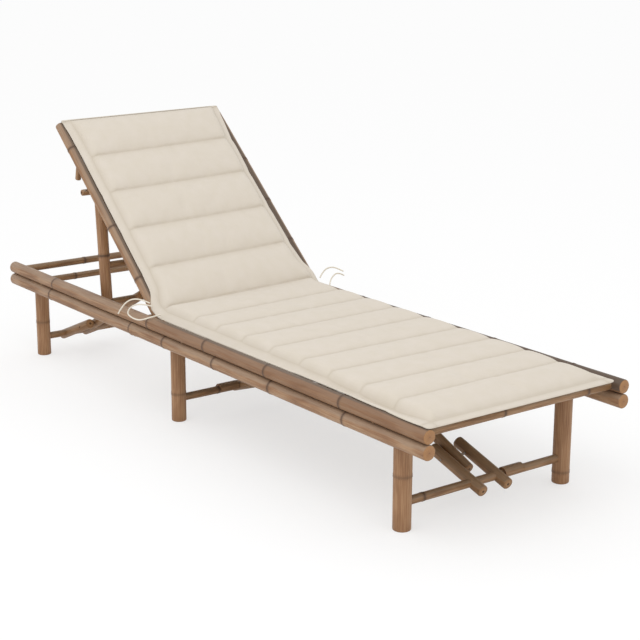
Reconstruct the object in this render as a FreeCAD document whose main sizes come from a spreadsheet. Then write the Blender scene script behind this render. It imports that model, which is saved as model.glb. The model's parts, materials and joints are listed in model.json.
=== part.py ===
"""Folding bamboo sun lounger with a slatted bed, a reclining back and a quilted cushion.

Two stacked rails on each side carry the seat. Three pairs of legs fold up under it, each
held open by a brace in two parts with a knee. The slatted back turns on a rod between the
upper rails and stands on a prop, whose feet sit on a bar between the lower rails.

Millimetres. X runs to the foot end, Y across, Z up. The origin is on the floor, under the
middle of the bed. The near side is at negative Y.
"""
import FreeCAD, Part
import math
import os
import Sketcher

DRIVING_SIZES = {
    # Rails and the pieces that lie between them
    "frame_length": 2000,
    "rail_spacing": 611,
    "upper_rail_height": 275,
    "upper_rail_diameter": 35,
    "lower_rail_diameter": 36,
    "dowel_diameter": 12,
    "dowel_depth": 8,
    "dowel_end_distance": 190,
    "tenon_diameter": 14,
    "tenon_depth": 13,
    "head_crossbar_inset": 45,
    "head_crossbar_diameter": 21,
    "foot_crossbar_inset": 38,
    "foot_crossbar_diameter": 25,
    "rung_diameter": 25,
    "first_rung_gap": 44,
    "rung_before_anchor": 60,
    "rung_after_anchor": 31,
    "rung_before_foot_axle": 133,
    "bar_diameter": 20,
    "bar_depth": 12,
    "seat_slat_width": 43,
    "seat_slat_thickness": 6,
    "seat_slat_rise": 2.5,
    "seat_slat_edge_gap": 19,
    "seat_slat_foot_lap": 10,
    "seat_slat_head_lap": 14,
    # Growth rings, clearances and the shape of cut ends
    "node_rise": 1,
    "node_width": 12,
    "slack": 0.3,
    "fit": 0.1,
    "end_bevel": 3,
    "edge_bevel": 1.5,
    # Legs, each pair with its stretcher
    "leg_inset": 49.9,
    "leg_top": 18,
    "head_leg_diameter": 42,
    "middle_leg_diameter": 41,
    "foot_leg_diameter": 44,
    "head_axle_inset": 81,
    "middle_axle_setback": 110,
    "foot_axle_inset": 147,
    "stretcher_diameter": 21,
    "head_stretcher_height": 57,
    "middle_stretcher_height": 64,
    "foot_stretcher_height": 66,
    "keeper_length": 62,
    "keeper_wall": 5,
    # Braces
    "middle_brace_run": 410,
    "anchor_spacing": 105,
    "knee_sag": 5,
    "head_knee_reach": 112.5,
    "middle_knee_reach": 104.8,
    "foot_knee_reach": 102.2,
    "brace_pole_diameter": 29,
    "brace_pole_offset": 40,
    "brace_foot_tail": 40,
    "brace_knee_tail": 48,
    "link_diameter": 28,
    "link_offset": -7,
    "link_knee_tail": 53,
    "link_anchor_tail": 28,
    "knee_pin_diameter": 6,
    "pin_stand_out": 1.5,
    "head_brace_place": -128,
    "middle_brace_place": -7,
    "foot_brace_place": 0,
    # Back, prop and pegs
    "backrest_setback": 172,
    "backrest_angle": 41,
    "back_pole_diameter": 28.6,
    "back_pole_side_gap": 2.2,
    "back_pole_reach": 726,
    "back_pole_tail": 21,
    "back_axle_diameter": 18,
    "back_rung_diameter": 20,
    "back_slat_width": 41,
    "back_slat_thickness": 6,
    "back_slat_rise": 2.5,
    "back_slat_edge_gap": 4.2,
    "back_slat_start": 22,
    "back_slat_end": 718,
    "prop_rod_diameter": 18,
    "prop_rod_place": 487,
    "prop_rod_overhang": 9,
    "prop_pole_diameter": 33,
    "prop_side_gap": 2.7,
    "prop_tail": 25,
    "prop_saddle_start": 9,
    "prop_mouth_slant": 47.5,
    "prop_crossbar_diameter": 20,
    "prop_crossbar_height": 110,
    "rest_bar_reach": 358,
    "rest_bar_height": 247,
    "peg_place": 579,
    "peg_diameter": 17,
    "peg_length": 48,
    "peg_start": 5,
    "peg_lean": 12,
    # Cushion and its ties
    "cushion_width": 580,
    "cushion_draw_in": 3,
    "cushion_flange": 25,
    "cushion_flange_thickness": 9,
    "cushion_border_thickness": 10,
    "cushion_seam_thickness": 14,
    "cushion_crown_thickness": 30,
    "cushion_shoulder": 38,
    "seat_cushion_start": -148,
    "seat_cushion_overhang": -4,
    "back_cushion_start": 32,
    "back_cushion_end": 730,
    "tie_diameter": 4,
}

SEAT_SLATS = 11
BACK_SLATS = 11
SEAT_CHANNELS = 9
BACK_CHANNELS = 5
RUNGS_BEFORE_ANCHOR = 3
RUNGS_AFTER_ANCHOR = 3
DOWELS_PER_SIDE = 3
BACK_RUNG_PLACES = {"a": 60, "b": 240, "c": 430, "d": 540, "e": 700}
SIDES = {"near": -1, "far": 1}
POLE_SIDES = 12
TENON_SIDES = 6
ALONG_X = (FreeCAD.Vector(0, 1, 0), "90")
ALONG_Y = (FreeCAD.Vector(1, 0, 0), "-90")
ALONG_Z = (FreeCAD.Vector(0, 1, 0), "0")
UPRIGHT_ACROSS = FreeCAD.Rotation(
    FreeCAD.Vector(0, 1, 0), FreeCAD.Vector(0, 0, 1), FreeCAD.Vector(1, 0, 0), "XYZ"
)
BRACE_SIDES = {"head": 1, "middle": 1, "foot": -1}
KEEPER_SIDES = {"head": 1, "middle": -1, "foot": 1}

# How far along each pole its growth rings stand, as shares of its length
RAIL_NODES = {
    "upper_near": (0.142, 0.419, 0.56, 0.698, 0.849),
    "upper_far": (0.205, 0.352, 0.497, 0.641, 0.773, 0.915),
    "lower_near": (0.131, 0.37, 0.458, 0.581, 0.707, 0.856),
    "lower_far": (0.168, 0.303, 0.514, 0.668, 0.79, 0.934),
}
LEG_NODES = {
    "head": {"near": 0.42, "far": 0.3},
    "middle": {"near": 0.31, "far": 0.45},
    "foot": {"near": 0.52, "far": 0.12},
}
BACK_POLE_NODES = {"near": (0.22, 0.47, 0.87), "far": (0.29, 0.5, 0.72)}
PROP_NODES = {"near": 0.48, "far": 0.36}
LINK_NODES = {"head": 0.62, "middle": 0.55, "foot": 0.4}

# Where a channel is full, as shares of its way from seam to seam
CROWN_SHARES = (0.3, 0.7)

# Tie cords: routes chosen by hand, each from its end at the cushion to its free end
TIE_ROUTES = {
    "tie_near_loop": (
        (-187, -289.2, 315), (-204, -308, 321), (-235, -324, 313), (-240, -338, 292),
        (-206, -342, 286), (-168, -339, 286), (-140, -320, 299), (-142, -288.4, 300.5),
    ),
    "tie_near_strand": (
        (-196, -289.9, 322), (-212, -307, 332), (-236, -325, 331), (-254, -341, 313),
        (-260, -354, 288),
    ),
    "tie_far_loop": (
        (-187, 289, 314), (-192, 302, 328), (-184, 316, 342), (-160, 326, 346),
        (-132, 333, 338),
    ),
    "tie_far_strand": (
        (-140, 289.3, 299), (-158, 304, 303), (-168, 319, 316), (-160, 335, 330),
        (-138, 341, 323),
    ),
}

document = FreeCAD.newDocument("SunLounger")
sizes = document.addObject("Spreadsheet::Sheet", "Sizes")
worked = document.addObject("App::VarSet", "Worked")
nodes = []


def fill_sheet():
    """Write each driving size as text beside its name, and give its cell that alias."""
    for row, (name, value) in enumerate(DRIVING_SIZES.items(), start=1):
        sizes.set(f"A{row}", name)
        sizes.set(f"B{row}", str(value))
        sizes.setAlias(f"B{row}", name)
    document.recompute()


def work_out(name, rule):
    """Keep a size that follows from the driving ones, and return the name to use in rules."""
    worked.addProperty("App::PropertyFloat", name, "Worked")
    worked.setExpression(name, rule)
    worked.recompute()
    return f"Worked.{name}"


def number(rule):
    """Value of a rule as a plain number."""
    return float(sizes.evalExpression(rule))


def half(alias):
    """Rule for half of a driving size, such as a radius."""
    return f"(Sizes.{alias} / 2)"


def put(thing, base, turn):
    """Bind a piece's place: the point of its own origin, and how its Z axis is turned."""
    axis, angle = turn
    start = number(angle)
    thing.Placement = FreeCAD.Placement(FreeCAD.Vector(), FreeCAD.Rotation(axis, start or 360))
    for letter, rule in zip("xyz", base):
        thing.setExpression(f"Placement.Base.{letter}", rule)
    if start:
        thing.setExpression("Placement.Rotation.Angle", angle)
    return thing


def keep(thing, name):
    """Name a finished piece and list it for export."""
    thing.Label = name
    nodes.append(thing)
    return thing


def station(name, radius, height):
    """Outline across a pole at one height."""
    outline = document.addObject("Part::RegularPolygon", name)
    outline.Polygon = POLE_SIDES
    outline.setExpression("Circumradius", radius)
    outline.setExpression("Placement.Base.z", height)
    return outline


def pole(name, length, radius, base, turn, rings=(), bevel=None):
    """Bamboo pole with flat sides, run through outlines that swell at each growth ring."""
    ends = f"({radius} - {bevel})" if bevel else radius
    outlines = [(ends, "0")]
    if bevel:
        outlines.append((radius, bevel))
    for share in rings:
        middle = f"({length}) * {share}"
        outlines += [
            (radius, f"{middle} - Sizes.node_width / 2"),
            (f"{radius} + Sizes.node_rise", middle),
            (radius, f"{middle} + Sizes.node_width / 2"),
        ]
    if bevel:
        outlines.append((radius, f"{length} - {bevel}"))
    outlines.append((ends, length))
    run = document.addObject("Part::Loft", name)
    run.Sections = [
        station(f"{name}_outline_{index}", width, height)
        for index, (width, height) in enumerate(outlines)
    ]
    run.Solid = True
    run.Ruled = True
    return put(run, base, turn)


def rod(name, radius, height, base, turn, sides=None):
    """Straight rod, pin or tenon with flat sides, or the tool for its bore."""
    thing = document.addObject("Part::Prism", name)
    thing.Polygon = sides or POLE_SIDES
    thing.setExpression("Circumradius", radius)
    thing.setExpression("Height", height)
    return put(thing, base, turn)


def cylinder(name, radius, height, base, turn):
    """Round rod that something turns on."""
    thing = document.addObject("Part::Cylinder", name)
    thing.setExpression("Radius", radius)
    thing.setExpression("Height", height)
    return put(thing, base, turn)


def tenoned(name, body, length, base, turn):
    """Crosspiece with a tenon at each end, made as one thin rod through its whole length."""
    core = rod(f"{name}_tenons", half("tenon_diameter"), length, base, turn, TENON_SIDES)
    joined = document.addObject("Part::Fuse", f"{name}_whole")
    joined.Base = body
    joined.Tool = core
    return joined


def drilled(name, solid, tools):
    """Take the tools out of a solid."""
    tool = tools[0]
    if len(tools) > 1:
        tool = document.addObject("Part::Compound", f"{name}_bores")
        tool.Links = tools
    cut = document.addObject("Part::Cut", f"{name}_drilled")
    cut.Base = solid
    cut.Tool = tool
    return cut


def gathered(name, pieces):
    """Several like pieces in one node."""
    group = document.addObject("Part::Compound", name)
    group.Links = pieces
    return group


def across(name, radius, middle, x, z, reach):
    """Flat-sided bore along Y through a pole, whose sides clear a round rod of that radius."""
    clear = f"({radius}) / cos(180 / {POLE_SIDES})"
    return rod(name, clear, f"2 * {reach}", (x, f"{middle} - {reach}", z), ALONG_Y)


def work_out_frame():
    """Places of the rails, bars, legs and braces."""
    work_out("rail_y", "Sizes.rail_spacing / 2")
    work_out("upper_radius", "Sizes.upper_rail_diameter / 2")
    work_out("lower_radius", "Sizes.lower_rail_diameter / 2")
    work_out(
        "lower_rail_height",
        "Sizes.upper_rail_height - Worked.upper_radius - Worked.lower_radius"
        " - Sizes.node_rise - Sizes.slack",
    )
    work_out("head_end", "-Sizes.frame_length / 2")
    work_out("foot_end", "Sizes.frame_length / 2")
    work_out("backrest_x", "-Sizes.backrest_setback")
    work_out("leg_y", "Worked.rail_y - Sizes.leg_inset")
    work_out("head_axle_x", "Worked.head_end + Sizes.head_axle_inset")
    work_out("middle_axle_x", "-Sizes.middle_axle_setback")
    work_out("foot_axle_x", "Worked.foot_end - Sizes.foot_axle_inset")
    work_out("head_anchor_x", "Worked.backrest_x - Sizes.rest_bar_reach")
    work_out("middle_anchor_x", "Worked.middle_axle_x + Sizes.middle_brace_run")
    work_out("foot_anchor_x", "Worked.middle_anchor_x + Sizes.anchor_spacing")
    work_out("head_anchor_z", "Sizes.rest_bar_height")
    work_out("middle_anchor_z", "Worked.lower_rail_height")
    work_out("foot_anchor_z", "Worked.lower_rail_height")
    work_out("seat_top", "Sizes.upper_rail_height + Sizes.rung_diameter / 2 + Sizes.fit")
    work_out(
        "foot_crossbar_z",
        "Worked.seat_top - Sizes.fit - Sizes.node_rise - Sizes.foot_crossbar_diameter / 2",
    )


def work_out_brace(name, side):
    """Triangle of a brace: stretcher, knee and anchor, with the knee a little low."""
    work_out(f"{name}_side", f"{side}")
    run = work_out(f"{name}_run", f"abs(Worked.{name}_anchor_x - Worked.{name}_axle_x)")
    rise = work_out(f"{name}_rise", f"Worked.{name}_anchor_z - Sizes.{name}_stretcher_height")
    span = work_out(f"{name}_span", f"sqrt({run} * {run} + {rise} * {rise})")
    slope = work_out(f"{name}_slope", f"atan({rise} / {run}) / 1 deg")
    reach = f"Sizes.{name}_knee_reach"
    offset = f"({reach} * sin(Sizes.knee_sag))"
    link = work_out(
        f"{name}_link_reach",
        f"sqrt({span} * {span} - {offset} * {offset}) - {reach} * cos(Sizes.knee_sag)",
    )
    anchor_corner = f"asin({reach} * sin(Sizes.knee_sag) / {span}) / 1 deg"
    work_out(f"{name}_link_angle", f"{slope} + {anchor_corner}")
    work_out(f"{name}_pole_angle", f"Worked.{name}_link_angle - Sizes.knee_sag")
    work_out(
        f"{name}_knee_x",
        f"Worked.{name}_axle_x + {side} * {reach} * cos(Worked.{name}_pole_angle)",
    )
    work_out(
        f"{name}_knee_z",
        f"Sizes.{name}_stretcher_height + {reach} * sin(Worked.{name}_pole_angle)",
    )
    return link


def work_out_back():
    """Places on the back, in its own directions: up the poles, and out of its face."""
    work_out("back_radius", "Sizes.back_pole_diameter / 2")
    work_out(
        "back_y",
        "Worked.rail_y - Worked.upper_radius - Sizes.back_pole_side_gap - Worked.back_radius",
    )
    work_out(
        "prop_y",
        "Worked.back_y - Worked.back_radius - Sizes.prop_side_gap - Sizes.prop_pole_diameter / 2",
    )
    work_out(
        "prop_rod_depth",
        "Worked.back_radius + Sizes.prop_rod_diameter / 2 + Sizes.fit",
    )
    rod_x, rod_z = on_back("Sizes.prop_rod_place", "-Worked.prop_rod_depth")
    work_out("prop_rod_x", rod_x)
    work_out("prop_rod_z", rod_z)
    work_out("prop_run", "Worked.prop_rod_x - Worked.head_anchor_x")
    work_out("prop_rise", "Worked.prop_rod_z - Worked.head_anchor_z")
    work_out(
        "prop_reach",
        "sqrt(Worked.prop_run * Worked.prop_run + Worked.prop_rise * Worked.prop_rise)",
    )
    work_out("prop_lean", "atan(Worked.prop_run / Worked.prop_rise) / 1 deg")
    work_out("back_slat_base", "Sizes.back_rung_diameter / 2 + Sizes.fit")


def on_back(along, out):
    """X and Z rules of a point up the back by one distance and out of its face by another."""
    angle = "Sizes.backrest_angle"
    x = f"(Worked.backrest_x - ({along}) * cos({angle}) + ({out}) * sin({angle}))"
    z = f"(Sizes.upper_rail_height + ({along}) * sin({angle}) + ({out}) * cos({angle}))"
    return x, z


def rung_places():
    """X of each rung of the seat, spread evenly on both sides of the anchor bars."""
    first = "(Worked.backrest_x + Sizes.first_rung_gap)"
    before = "(Worked.middle_anchor_x - Sizes.rung_before_anchor)"
    after = "(Worked.foot_anchor_x + Sizes.rung_after_anchor)"
    last = "(Worked.foot_axle_x - Sizes.rung_before_foot_axle)"
    places = []
    for index in range(RUNGS_BEFORE_ANCHOR):
        places.append(f"({first} + ({before} - {first}) * {index} / {RUNGS_BEFORE_ANCHOR - 1})")
    for index in range(RUNGS_AFTER_ANCHOR):
        places.append(f"({after} + ({last} - {after}) * {index} / {RUNGS_AFTER_ANCHOR - 1})")
    return places


def dowel_places():
    """X of each dowel between an upper rail and the lower rail under it."""
    first = "(Worked.head_end + Sizes.dowel_end_distance)"
    last = "(Worked.foot_end - Sizes.dowel_end_distance)"
    steps = DOWELS_PER_SIDE - 1
    return [f"({first} + ({last} - {first}) * {index} / {steps})" for index in range(DOWELS_PER_SIDE)]


def dowel(name, x, side, gap):
    """Upright dowel, or its bore when the gap is more than nothing."""
    low = "(Worked.lower_rail_height + Worked.lower_radius - Sizes.dowel_depth)"
    high = "(Sizes.upper_rail_height - Worked.upper_radius + Sizes.dowel_depth)"
    height = f"{high} - {low} + 2 * {gap}"
    base = (x, f"{side} * Worked.rail_y", f"{low} - {gap}")
    return rod(name, f"{half('dowel_diameter')} + {gap}", height, base, ALONG_Z, TENON_SIDES)


def side_bore(name, radius, x, z, side, pole_y, pole_radius, depth):
    """Blind six-sided bore into the inner side of a pole, for a tenon or a round bar."""
    length = f"({depth} + Sizes.fit + {pole_radius})"
    inner = f"({pole_y} - {pole_radius} + {depth} + Sizes.fit)"
    start = f"{inner} - {length}" if side > 0 else f"-{inner}"
    return rod(name, radius, length, (x, start, z), ALONG_Y, TENON_SIDES)


def snug(alias):
    """Radius of a six-sided bore whose flat sides just clear a round bar."""
    return f"({half(alias)} + Sizes.fit) / cos(180 / {TENON_SIDES})"


def make_rails():
    """Upper and lower rail on each side, with the bores for all that ends in them."""
    tenon = (f"{half('tenon_diameter')} + Sizes.fit", "Sizes.tenon_depth")
    bar = (snug("bar_diameter"), "Sizes.bar_depth")
    upper_height = "Sizes.upper_rail_height"
    upper = [(place, upper_height, tenon) for place in rung_places()]
    upper.append(("Worked.head_end + Sizes.head_crossbar_inset", upper_height, tenon))
    upper.append(("Worked.foot_end - Sizes.foot_crossbar_inset", "Worked.foot_crossbar_z", tenon))
    upper.append(("Worked.backrest_x", upper_height, (snug("back_axle_diameter"), "Sizes.bar_depth")))
    lower_height = "Worked.lower_rail_height"
    lower = []
    for name in BRACE_SIDES:
        lower.append((f"Worked.{name}_axle_x", lower_height, bar))
        lower.append((f"Worked.{name}_anchor_x", f"Worked.{name}_anchor_z", bar))
    levels = {"upper": (upper_height, upper), "lower": (lower_height, lower)}
    for where, side in SIDES.items():
        for level, (height, ends) in levels.items():
            name = f"{level}_rail_{where}"
            radius = f"Worked.{level}_radius"
            base = ("Worked.head_end", f"{side} * Worked.rail_y", height)
            rail = pole(f"{name}_pole", "Sizes.frame_length", radius, base, ALONG_X,
                        RAIL_NODES[f"{level}_{where}"], "Sizes.end_bevel")
            tools = [
                dowel(f"{name}_dowel_bore_{index}", place, side, "Sizes.fit")
                for index, place in enumerate(dowel_places())
            ]
            for index, (x, z, (width, depth)) in enumerate(ends):
                tools.append(side_bore(f"{name}_bore_{index}", width, x, z, side,
                                       "Worked.rail_y", radius, depth))
            keep(drilled(name, rail, tools), name)


def crosspiece(name, radius, x, z, rings=()):
    """Bamboo from one upper rail to the other, with a tenon in each."""
    inner = "(Worked.rail_y - Worked.upper_radius)"
    shoulder = f"({inner} - Sizes.fit)"
    body = pole(name, f"2 * {shoulder}", radius, (x, f"-{shoulder}", z), ALONG_Y, rings)
    reach = f"({inner} + Sizes.tenon_depth)"
    return tenoned(name, body, f"2 * {reach}", (x, f"-{reach}", z), ALONG_Y)


def round_bar(name, radius, x, z, inner):
    """Round rod from side to side, let in at its full width, that something turns on."""
    reach = f"({inner} + Sizes.bar_depth)"
    return cylinder(name, radius, f"2 * {reach}", (x, f"-{reach}", z), ALONG_Y)


def make_crosspieces():
    """Crossbars at both ends, the rungs under the seat, and the round bars."""
    height = "Sizes.upper_rail_height"
    keep(crosspiece("head_crossbar_pole", half("head_crossbar_diameter"),
                    "Worked.head_end + Sizes.head_crossbar_inset", height, (0.36,)), "head_crossbar")
    keep(crosspiece("foot_crossbar_pole", half("foot_crossbar_diameter"),
                    "Worked.foot_end - Sizes.foot_crossbar_inset", "Worked.foot_crossbar_z",
                    (0.405, 0.853)), "foot_crossbar")
    rungs = [
        crosspiece(f"rung_{index}", half("rung_diameter"), place, height)
        for index, place in enumerate(rung_places())
    ]
    keep(gathered("rungs", rungs), "seat_rungs")
    inner = "(Worked.rail_y - Worked.upper_radius)"
    keep(round_bar("backrest_axle_rod", half("back_axle_diameter"), "Worked.backrest_x", height,
                   inner), "backrest_axle")
    inner = "(Worked.rail_y - Worked.lower_radius)"
    for name in BRACE_SIDES:
        keep(round_bar(f"{name}_axle_rod", half("bar_diameter"), f"Worked.{name}_axle_x",
                       "Worked.lower_rail_height", inner), f"{name}_leg_axle")
        label = "prop_rest_bar" if name == "head" else f"{name}_anchor_bar"
        keep(round_bar(f"{name}_anchor_rod", half("bar_diameter"), f"Worked.{name}_anchor_x",
                       f"Worked.{name}_anchor_z", inner), label)
    dowels = []
    for where, side in SIDES.items():
        for index, place in enumerate(dowel_places()):
            dowels.append(dowel(f"dowel_{where}_{index}", place, side, "0"))
    keep(gathered("dowels", dowels), "rail_dowels")


def strip_outlines(sketch, count, width, edge, base, thickness, rise):
    """Sections of split strips side by side, each flat below and bowed above."""
    radius = f"(({width}) * ({width}) / 4 + ({rise}) * ({rise})) / (2 * ({rise}))"
    pitch = f"(2 * ({edge}) - ({width})) / {count - 1}"
    for index in range(count):
        left = f"(-({edge}) + ({pitch}) * {index})"
        right = f"({left} + ({width}))"
        top = f"({base} + {thickness})"
        shoulder = f"({top} - {rise})"
        corners = [(left, shoulder), (left, base), (right, base), (right, shoulder)]
        points = [FreeCAD.Vector(number(a), number(b), 0) for a, b in corners]
        crown = FreeCAD.Vector((points[0].x + points[3].x) / 2, number(top), 0)
        first = sketch.GeometryCount
        for start, end in zip(points, points[1:]):
            sketch.addGeometry(Part.LineSegment(start, end), False)
        sketch.addGeometry(Part.Arc(points[3], crown, points[0]), False)
        rules = [Sketcher.Constraint("Coincident", first + line, 2, first + line + 1, 1)
                 for line in range(3)]
        rules.append(Sketcher.Constraint("Coincident", first + 3, 2, first, 1))
        bound = []
        for line, (a, b) in enumerate(corners):
            end = (first + line, 1) if line < 3 else (first + 2, 2)
            bound.append((len(rules), a))
            rules.append(Sketcher.Constraint("DistanceX", -1, 1, *end, points[line].x))
            bound.append((len(rules), b))
            rules.append(Sketcher.Constraint("DistanceY", -1, 1, *end, points[line].y))
        bound.append((len(rules), radius))
        rules.append(Sketcher.Constraint("Radius", first + 3, number(radius)))
        already = sketch.ConstraintCount
        sketch.addConstraint(rules)
        for place, rule in bound:
            sketch.setExpression(f"Constraints[{already + place}]", rule)


def strips(name, count, width, edge, base, thickness, rise, start, length):
    """Row of split strips, drawn across the bed and run out along X."""
    sketch = document.addObject("Sketcher::SketchObject", f"{name}_sections")
    sketch.Placement = FreeCAD.Placement(FreeCAD.Vector(), UPRIGHT_ACROSS)
    sketch.setExpression("Placement.Base.x", start)
    strip_outlines(sketch, count, width, edge, base, thickness, rise)
    run = document.addObject("Part::Extrusion", f"{name}_run")
    run.Base = sketch
    run.DirMode = "Normal"
    run.Solid = True
    run.setExpression("LengthFwd", length)
    return run


def make_seat_slats():
    """Lengthwise strips of the seat, on the rungs and the foot crossbar."""
    edge = "Worked.rail_y - Worked.upper_radius - Sizes.seat_slat_edge_gap"
    start = "(Worked.backrest_x + Sizes.first_rung_gap - Sizes.seat_slat_head_lap)"
    end = "(Worked.foot_end - Sizes.foot_crossbar_inset + Sizes.seat_slat_foot_lap)"
    run = strips("seat_slats", SEAT_SLATS, "Sizes.seat_slat_width", edge, "Worked.seat_top",
                 "Sizes.seat_slat_thickness", "Sizes.seat_slat_rise", start, f"{end} - {start}")
    keep(run, "seat_slats")


def make_legs(name):
    """Two legs, the stretcher that joins them low down, and the strip nailed over it."""
    radius = half(f"{name}_leg_diameter")
    axle_x = f"Worked.{name}_axle_x"
    stretcher_z = f"Sizes.{name}_stretcher_height"
    length = "(Worked.lower_rail_height + Sizes.leg_top)"
    for where, side in SIDES.items():
        label = f"{name}_leg_{where}"
        middle = f"({side} * Worked.leg_y)"
        leg = pole(f"{label}_pole", length, radius, (axle_x, middle, "0"), ALONG_Z,
                   (LEG_NODES[name][where],))
        reach = f"({radius} + Sizes.edge_bevel)"
        hinge = across(f"{label}_hinge_bore", f"{half('bar_diameter')} + Sizes.slack", middle,
                       axle_x, "Worked.lower_rail_height", reach)
        seat = side_bore(f"{label}_stretcher_bore", snug("stretcher_diameter"), axle_x,
                         stretcher_z, side, "Worked.leg_y", radius, "Sizes.bar_depth")
        keep(drilled(label, leg, [hinge, seat]), label)
    keep(round_bar(f"{name}_stretcher_bar", half("stretcher_diameter"), axle_x, stretcher_z,
                   f"(Worked.leg_y - {radius})"), f"{name}_stretcher")
    keep(keeper(name, axle_x, stretcher_z), f"{name}_keeper")


def keeper(name, x, z):
    """Half of a split cane over the stretcher, beside the brace, which it keeps in place."""
    side = KEEPER_SIDES[name]
    near_end = (
        f"(Sizes.{name}_brace_place + {side} * (Sizes.brace_pole_offset"
        " + Sizes.brace_pole_diameter / 2 + 2 * Sizes.slack))"
    )
    start = near_end if side > 0 else f"{near_end} - Sizes.keeper_length"
    inner = f"({half('stretcher_diameter')} + Sizes.fit) / cos(180 / {POLE_SIDES})"
    outer = f"({half('stretcher_diameter')} + Sizes.node_rise + Sizes.keeper_wall)"
    length = "Sizes.keeper_length"
    margin = "Sizes.edge_bevel"
    cane = rod(f"{name}_keeper_cane", outer, length, (x, start, z), ALONG_Y)
    beyond = f"{start} - {margin}"
    hollow = rod(f"{name}_keeper_hollow", inner, f"{length} + 2 * {margin}", (x, beyond, z), ALONG_Y)
    below = document.addObject("Part::Box", f"{name}_keeper_below")
    below.setExpression("Length", f"2 * {outer}")
    below.setExpression("Width", f"{length} + 2 * {margin}")
    below.setExpression("Height", outer)
    for letter, rule in zip("xyz", (f"{x} - {outer}", beyond, f"{z} - {outer}")):
        below.setExpression(f"Placement.Base.{letter}", rule)
    return drilled(f"{name}_keeper", cane, [hollow, below])


def lean(name, part):
    """Turn of a brace's pole or link, from upright towards its anchor."""
    side = number(f"Worked.{name}_side")
    return FreeCAD.Vector(0, 1, 0), f"{int(side)} * (90 - Worked.{name}_{part}_angle)"


def make_brace(name):
    """Two poles on the stretcher, the pins at the knee, and the link up to the anchor."""
    side = int(number(f"Worked.{name}_side"))
    place = f"Sizes.{name}_brace_place"
    radius = half("brace_pole_diameter")
    pin_radius = half("knee_pin_diameter")
    axle_x = f"Worked.{name}_axle_x"
    stretcher_z = f"Sizes.{name}_stretcher_height"
    knee = (f"Worked.{name}_knee_x", f"Worked.{name}_knee_z")
    angle = f"Worked.{name}_pole_angle"
    tail = "Sizes.brace_foot_tail"
    length = f"{tail} + Sizes.{name}_knee_reach + Sizes.brace_knee_tail"
    link_radius = half("link_diameter")
    link_y = f"({place} + Sizes.link_offset)"
    pins = []
    for where, hand in SIDES.items():
        label = f"{name}_brace_pole_{where}"
        middle = f"({place} + {hand} * Sizes.brace_pole_offset)"
        base = (f"{axle_x} - {side} * {tail} * cos({angle})", middle,
                f"{stretcher_z} - {tail} * sin({angle})")
        strut = pole(f"{label}_cane", length, radius, base, lean(name, "pole"))
        reach = f"({radius} + Sizes.edge_bevel)"
        bores = [
            across(f"{label}_stretcher_bore", f"{half('stretcher_diameter')} + Sizes.slack",
                   middle, axle_x, stretcher_z, reach),
            rod(f"{label}_pin_bore", f"{pin_radius} + Sizes.fit", f"2 * {reach}",
                (knee[0], f"{middle} - {reach}", knee[1]), ALONG_Y, TENON_SIDES),
        ]
        keep(drilled(label, strut, bores), label)
        outer = f"({middle} + {hand} * ({radius} + Sizes.pin_stand_out))"
        inner = f"({link_y} + {hand} * ({link_radius} + Sizes.slack + Sizes.fit))"
        if hand < 0:
            shank_start, shank_length = outer, f"{inner} - {outer}"
        else:
            shank_start, shank_length = inner, f"{outer} - {inner}"
        pins.append(rod(f"{name}_pin_{where}", pin_radius, shank_length,
                        (knee[0], shank_start, knee[1]), ALONG_Y, TENON_SIDES))
    keep(gathered(f"{name}_pins", pins), f"{name}_knee_pins")
    angle = f"Worked.{name}_link_angle"
    tail = "Sizes.link_knee_tail"
    base = (f"{knee[0]} - {side} * {tail} * cos({angle})", link_y, f"{knee[1]} - {tail} * sin({angle})")
    length = f"{tail} + Worked.{name}_link_reach + Sizes.link_anchor_tail"
    cane = pole(f"{name}_link_cane", length, link_radius, base, lean(name, "link"),
                (LINK_NODES[name],), bevel="Sizes.end_bevel")
    reach = f"({link_radius} + Sizes.edge_bevel)"
    bores = [
        across(f"{name}_link_pin_bore", f"{pin_radius} + Sizes.slack", link_y, *knee, reach),
        across(f"{name}_link_anchor_bore", f"{half('bar_diameter')} + Sizes.slack", link_y,
               f"Worked.{name}_anchor_x", f"Worked.{name}_anchor_z", reach),
    ]
    keep(drilled(f"{name}_link", cane, bores), f"{name}_link")


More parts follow.
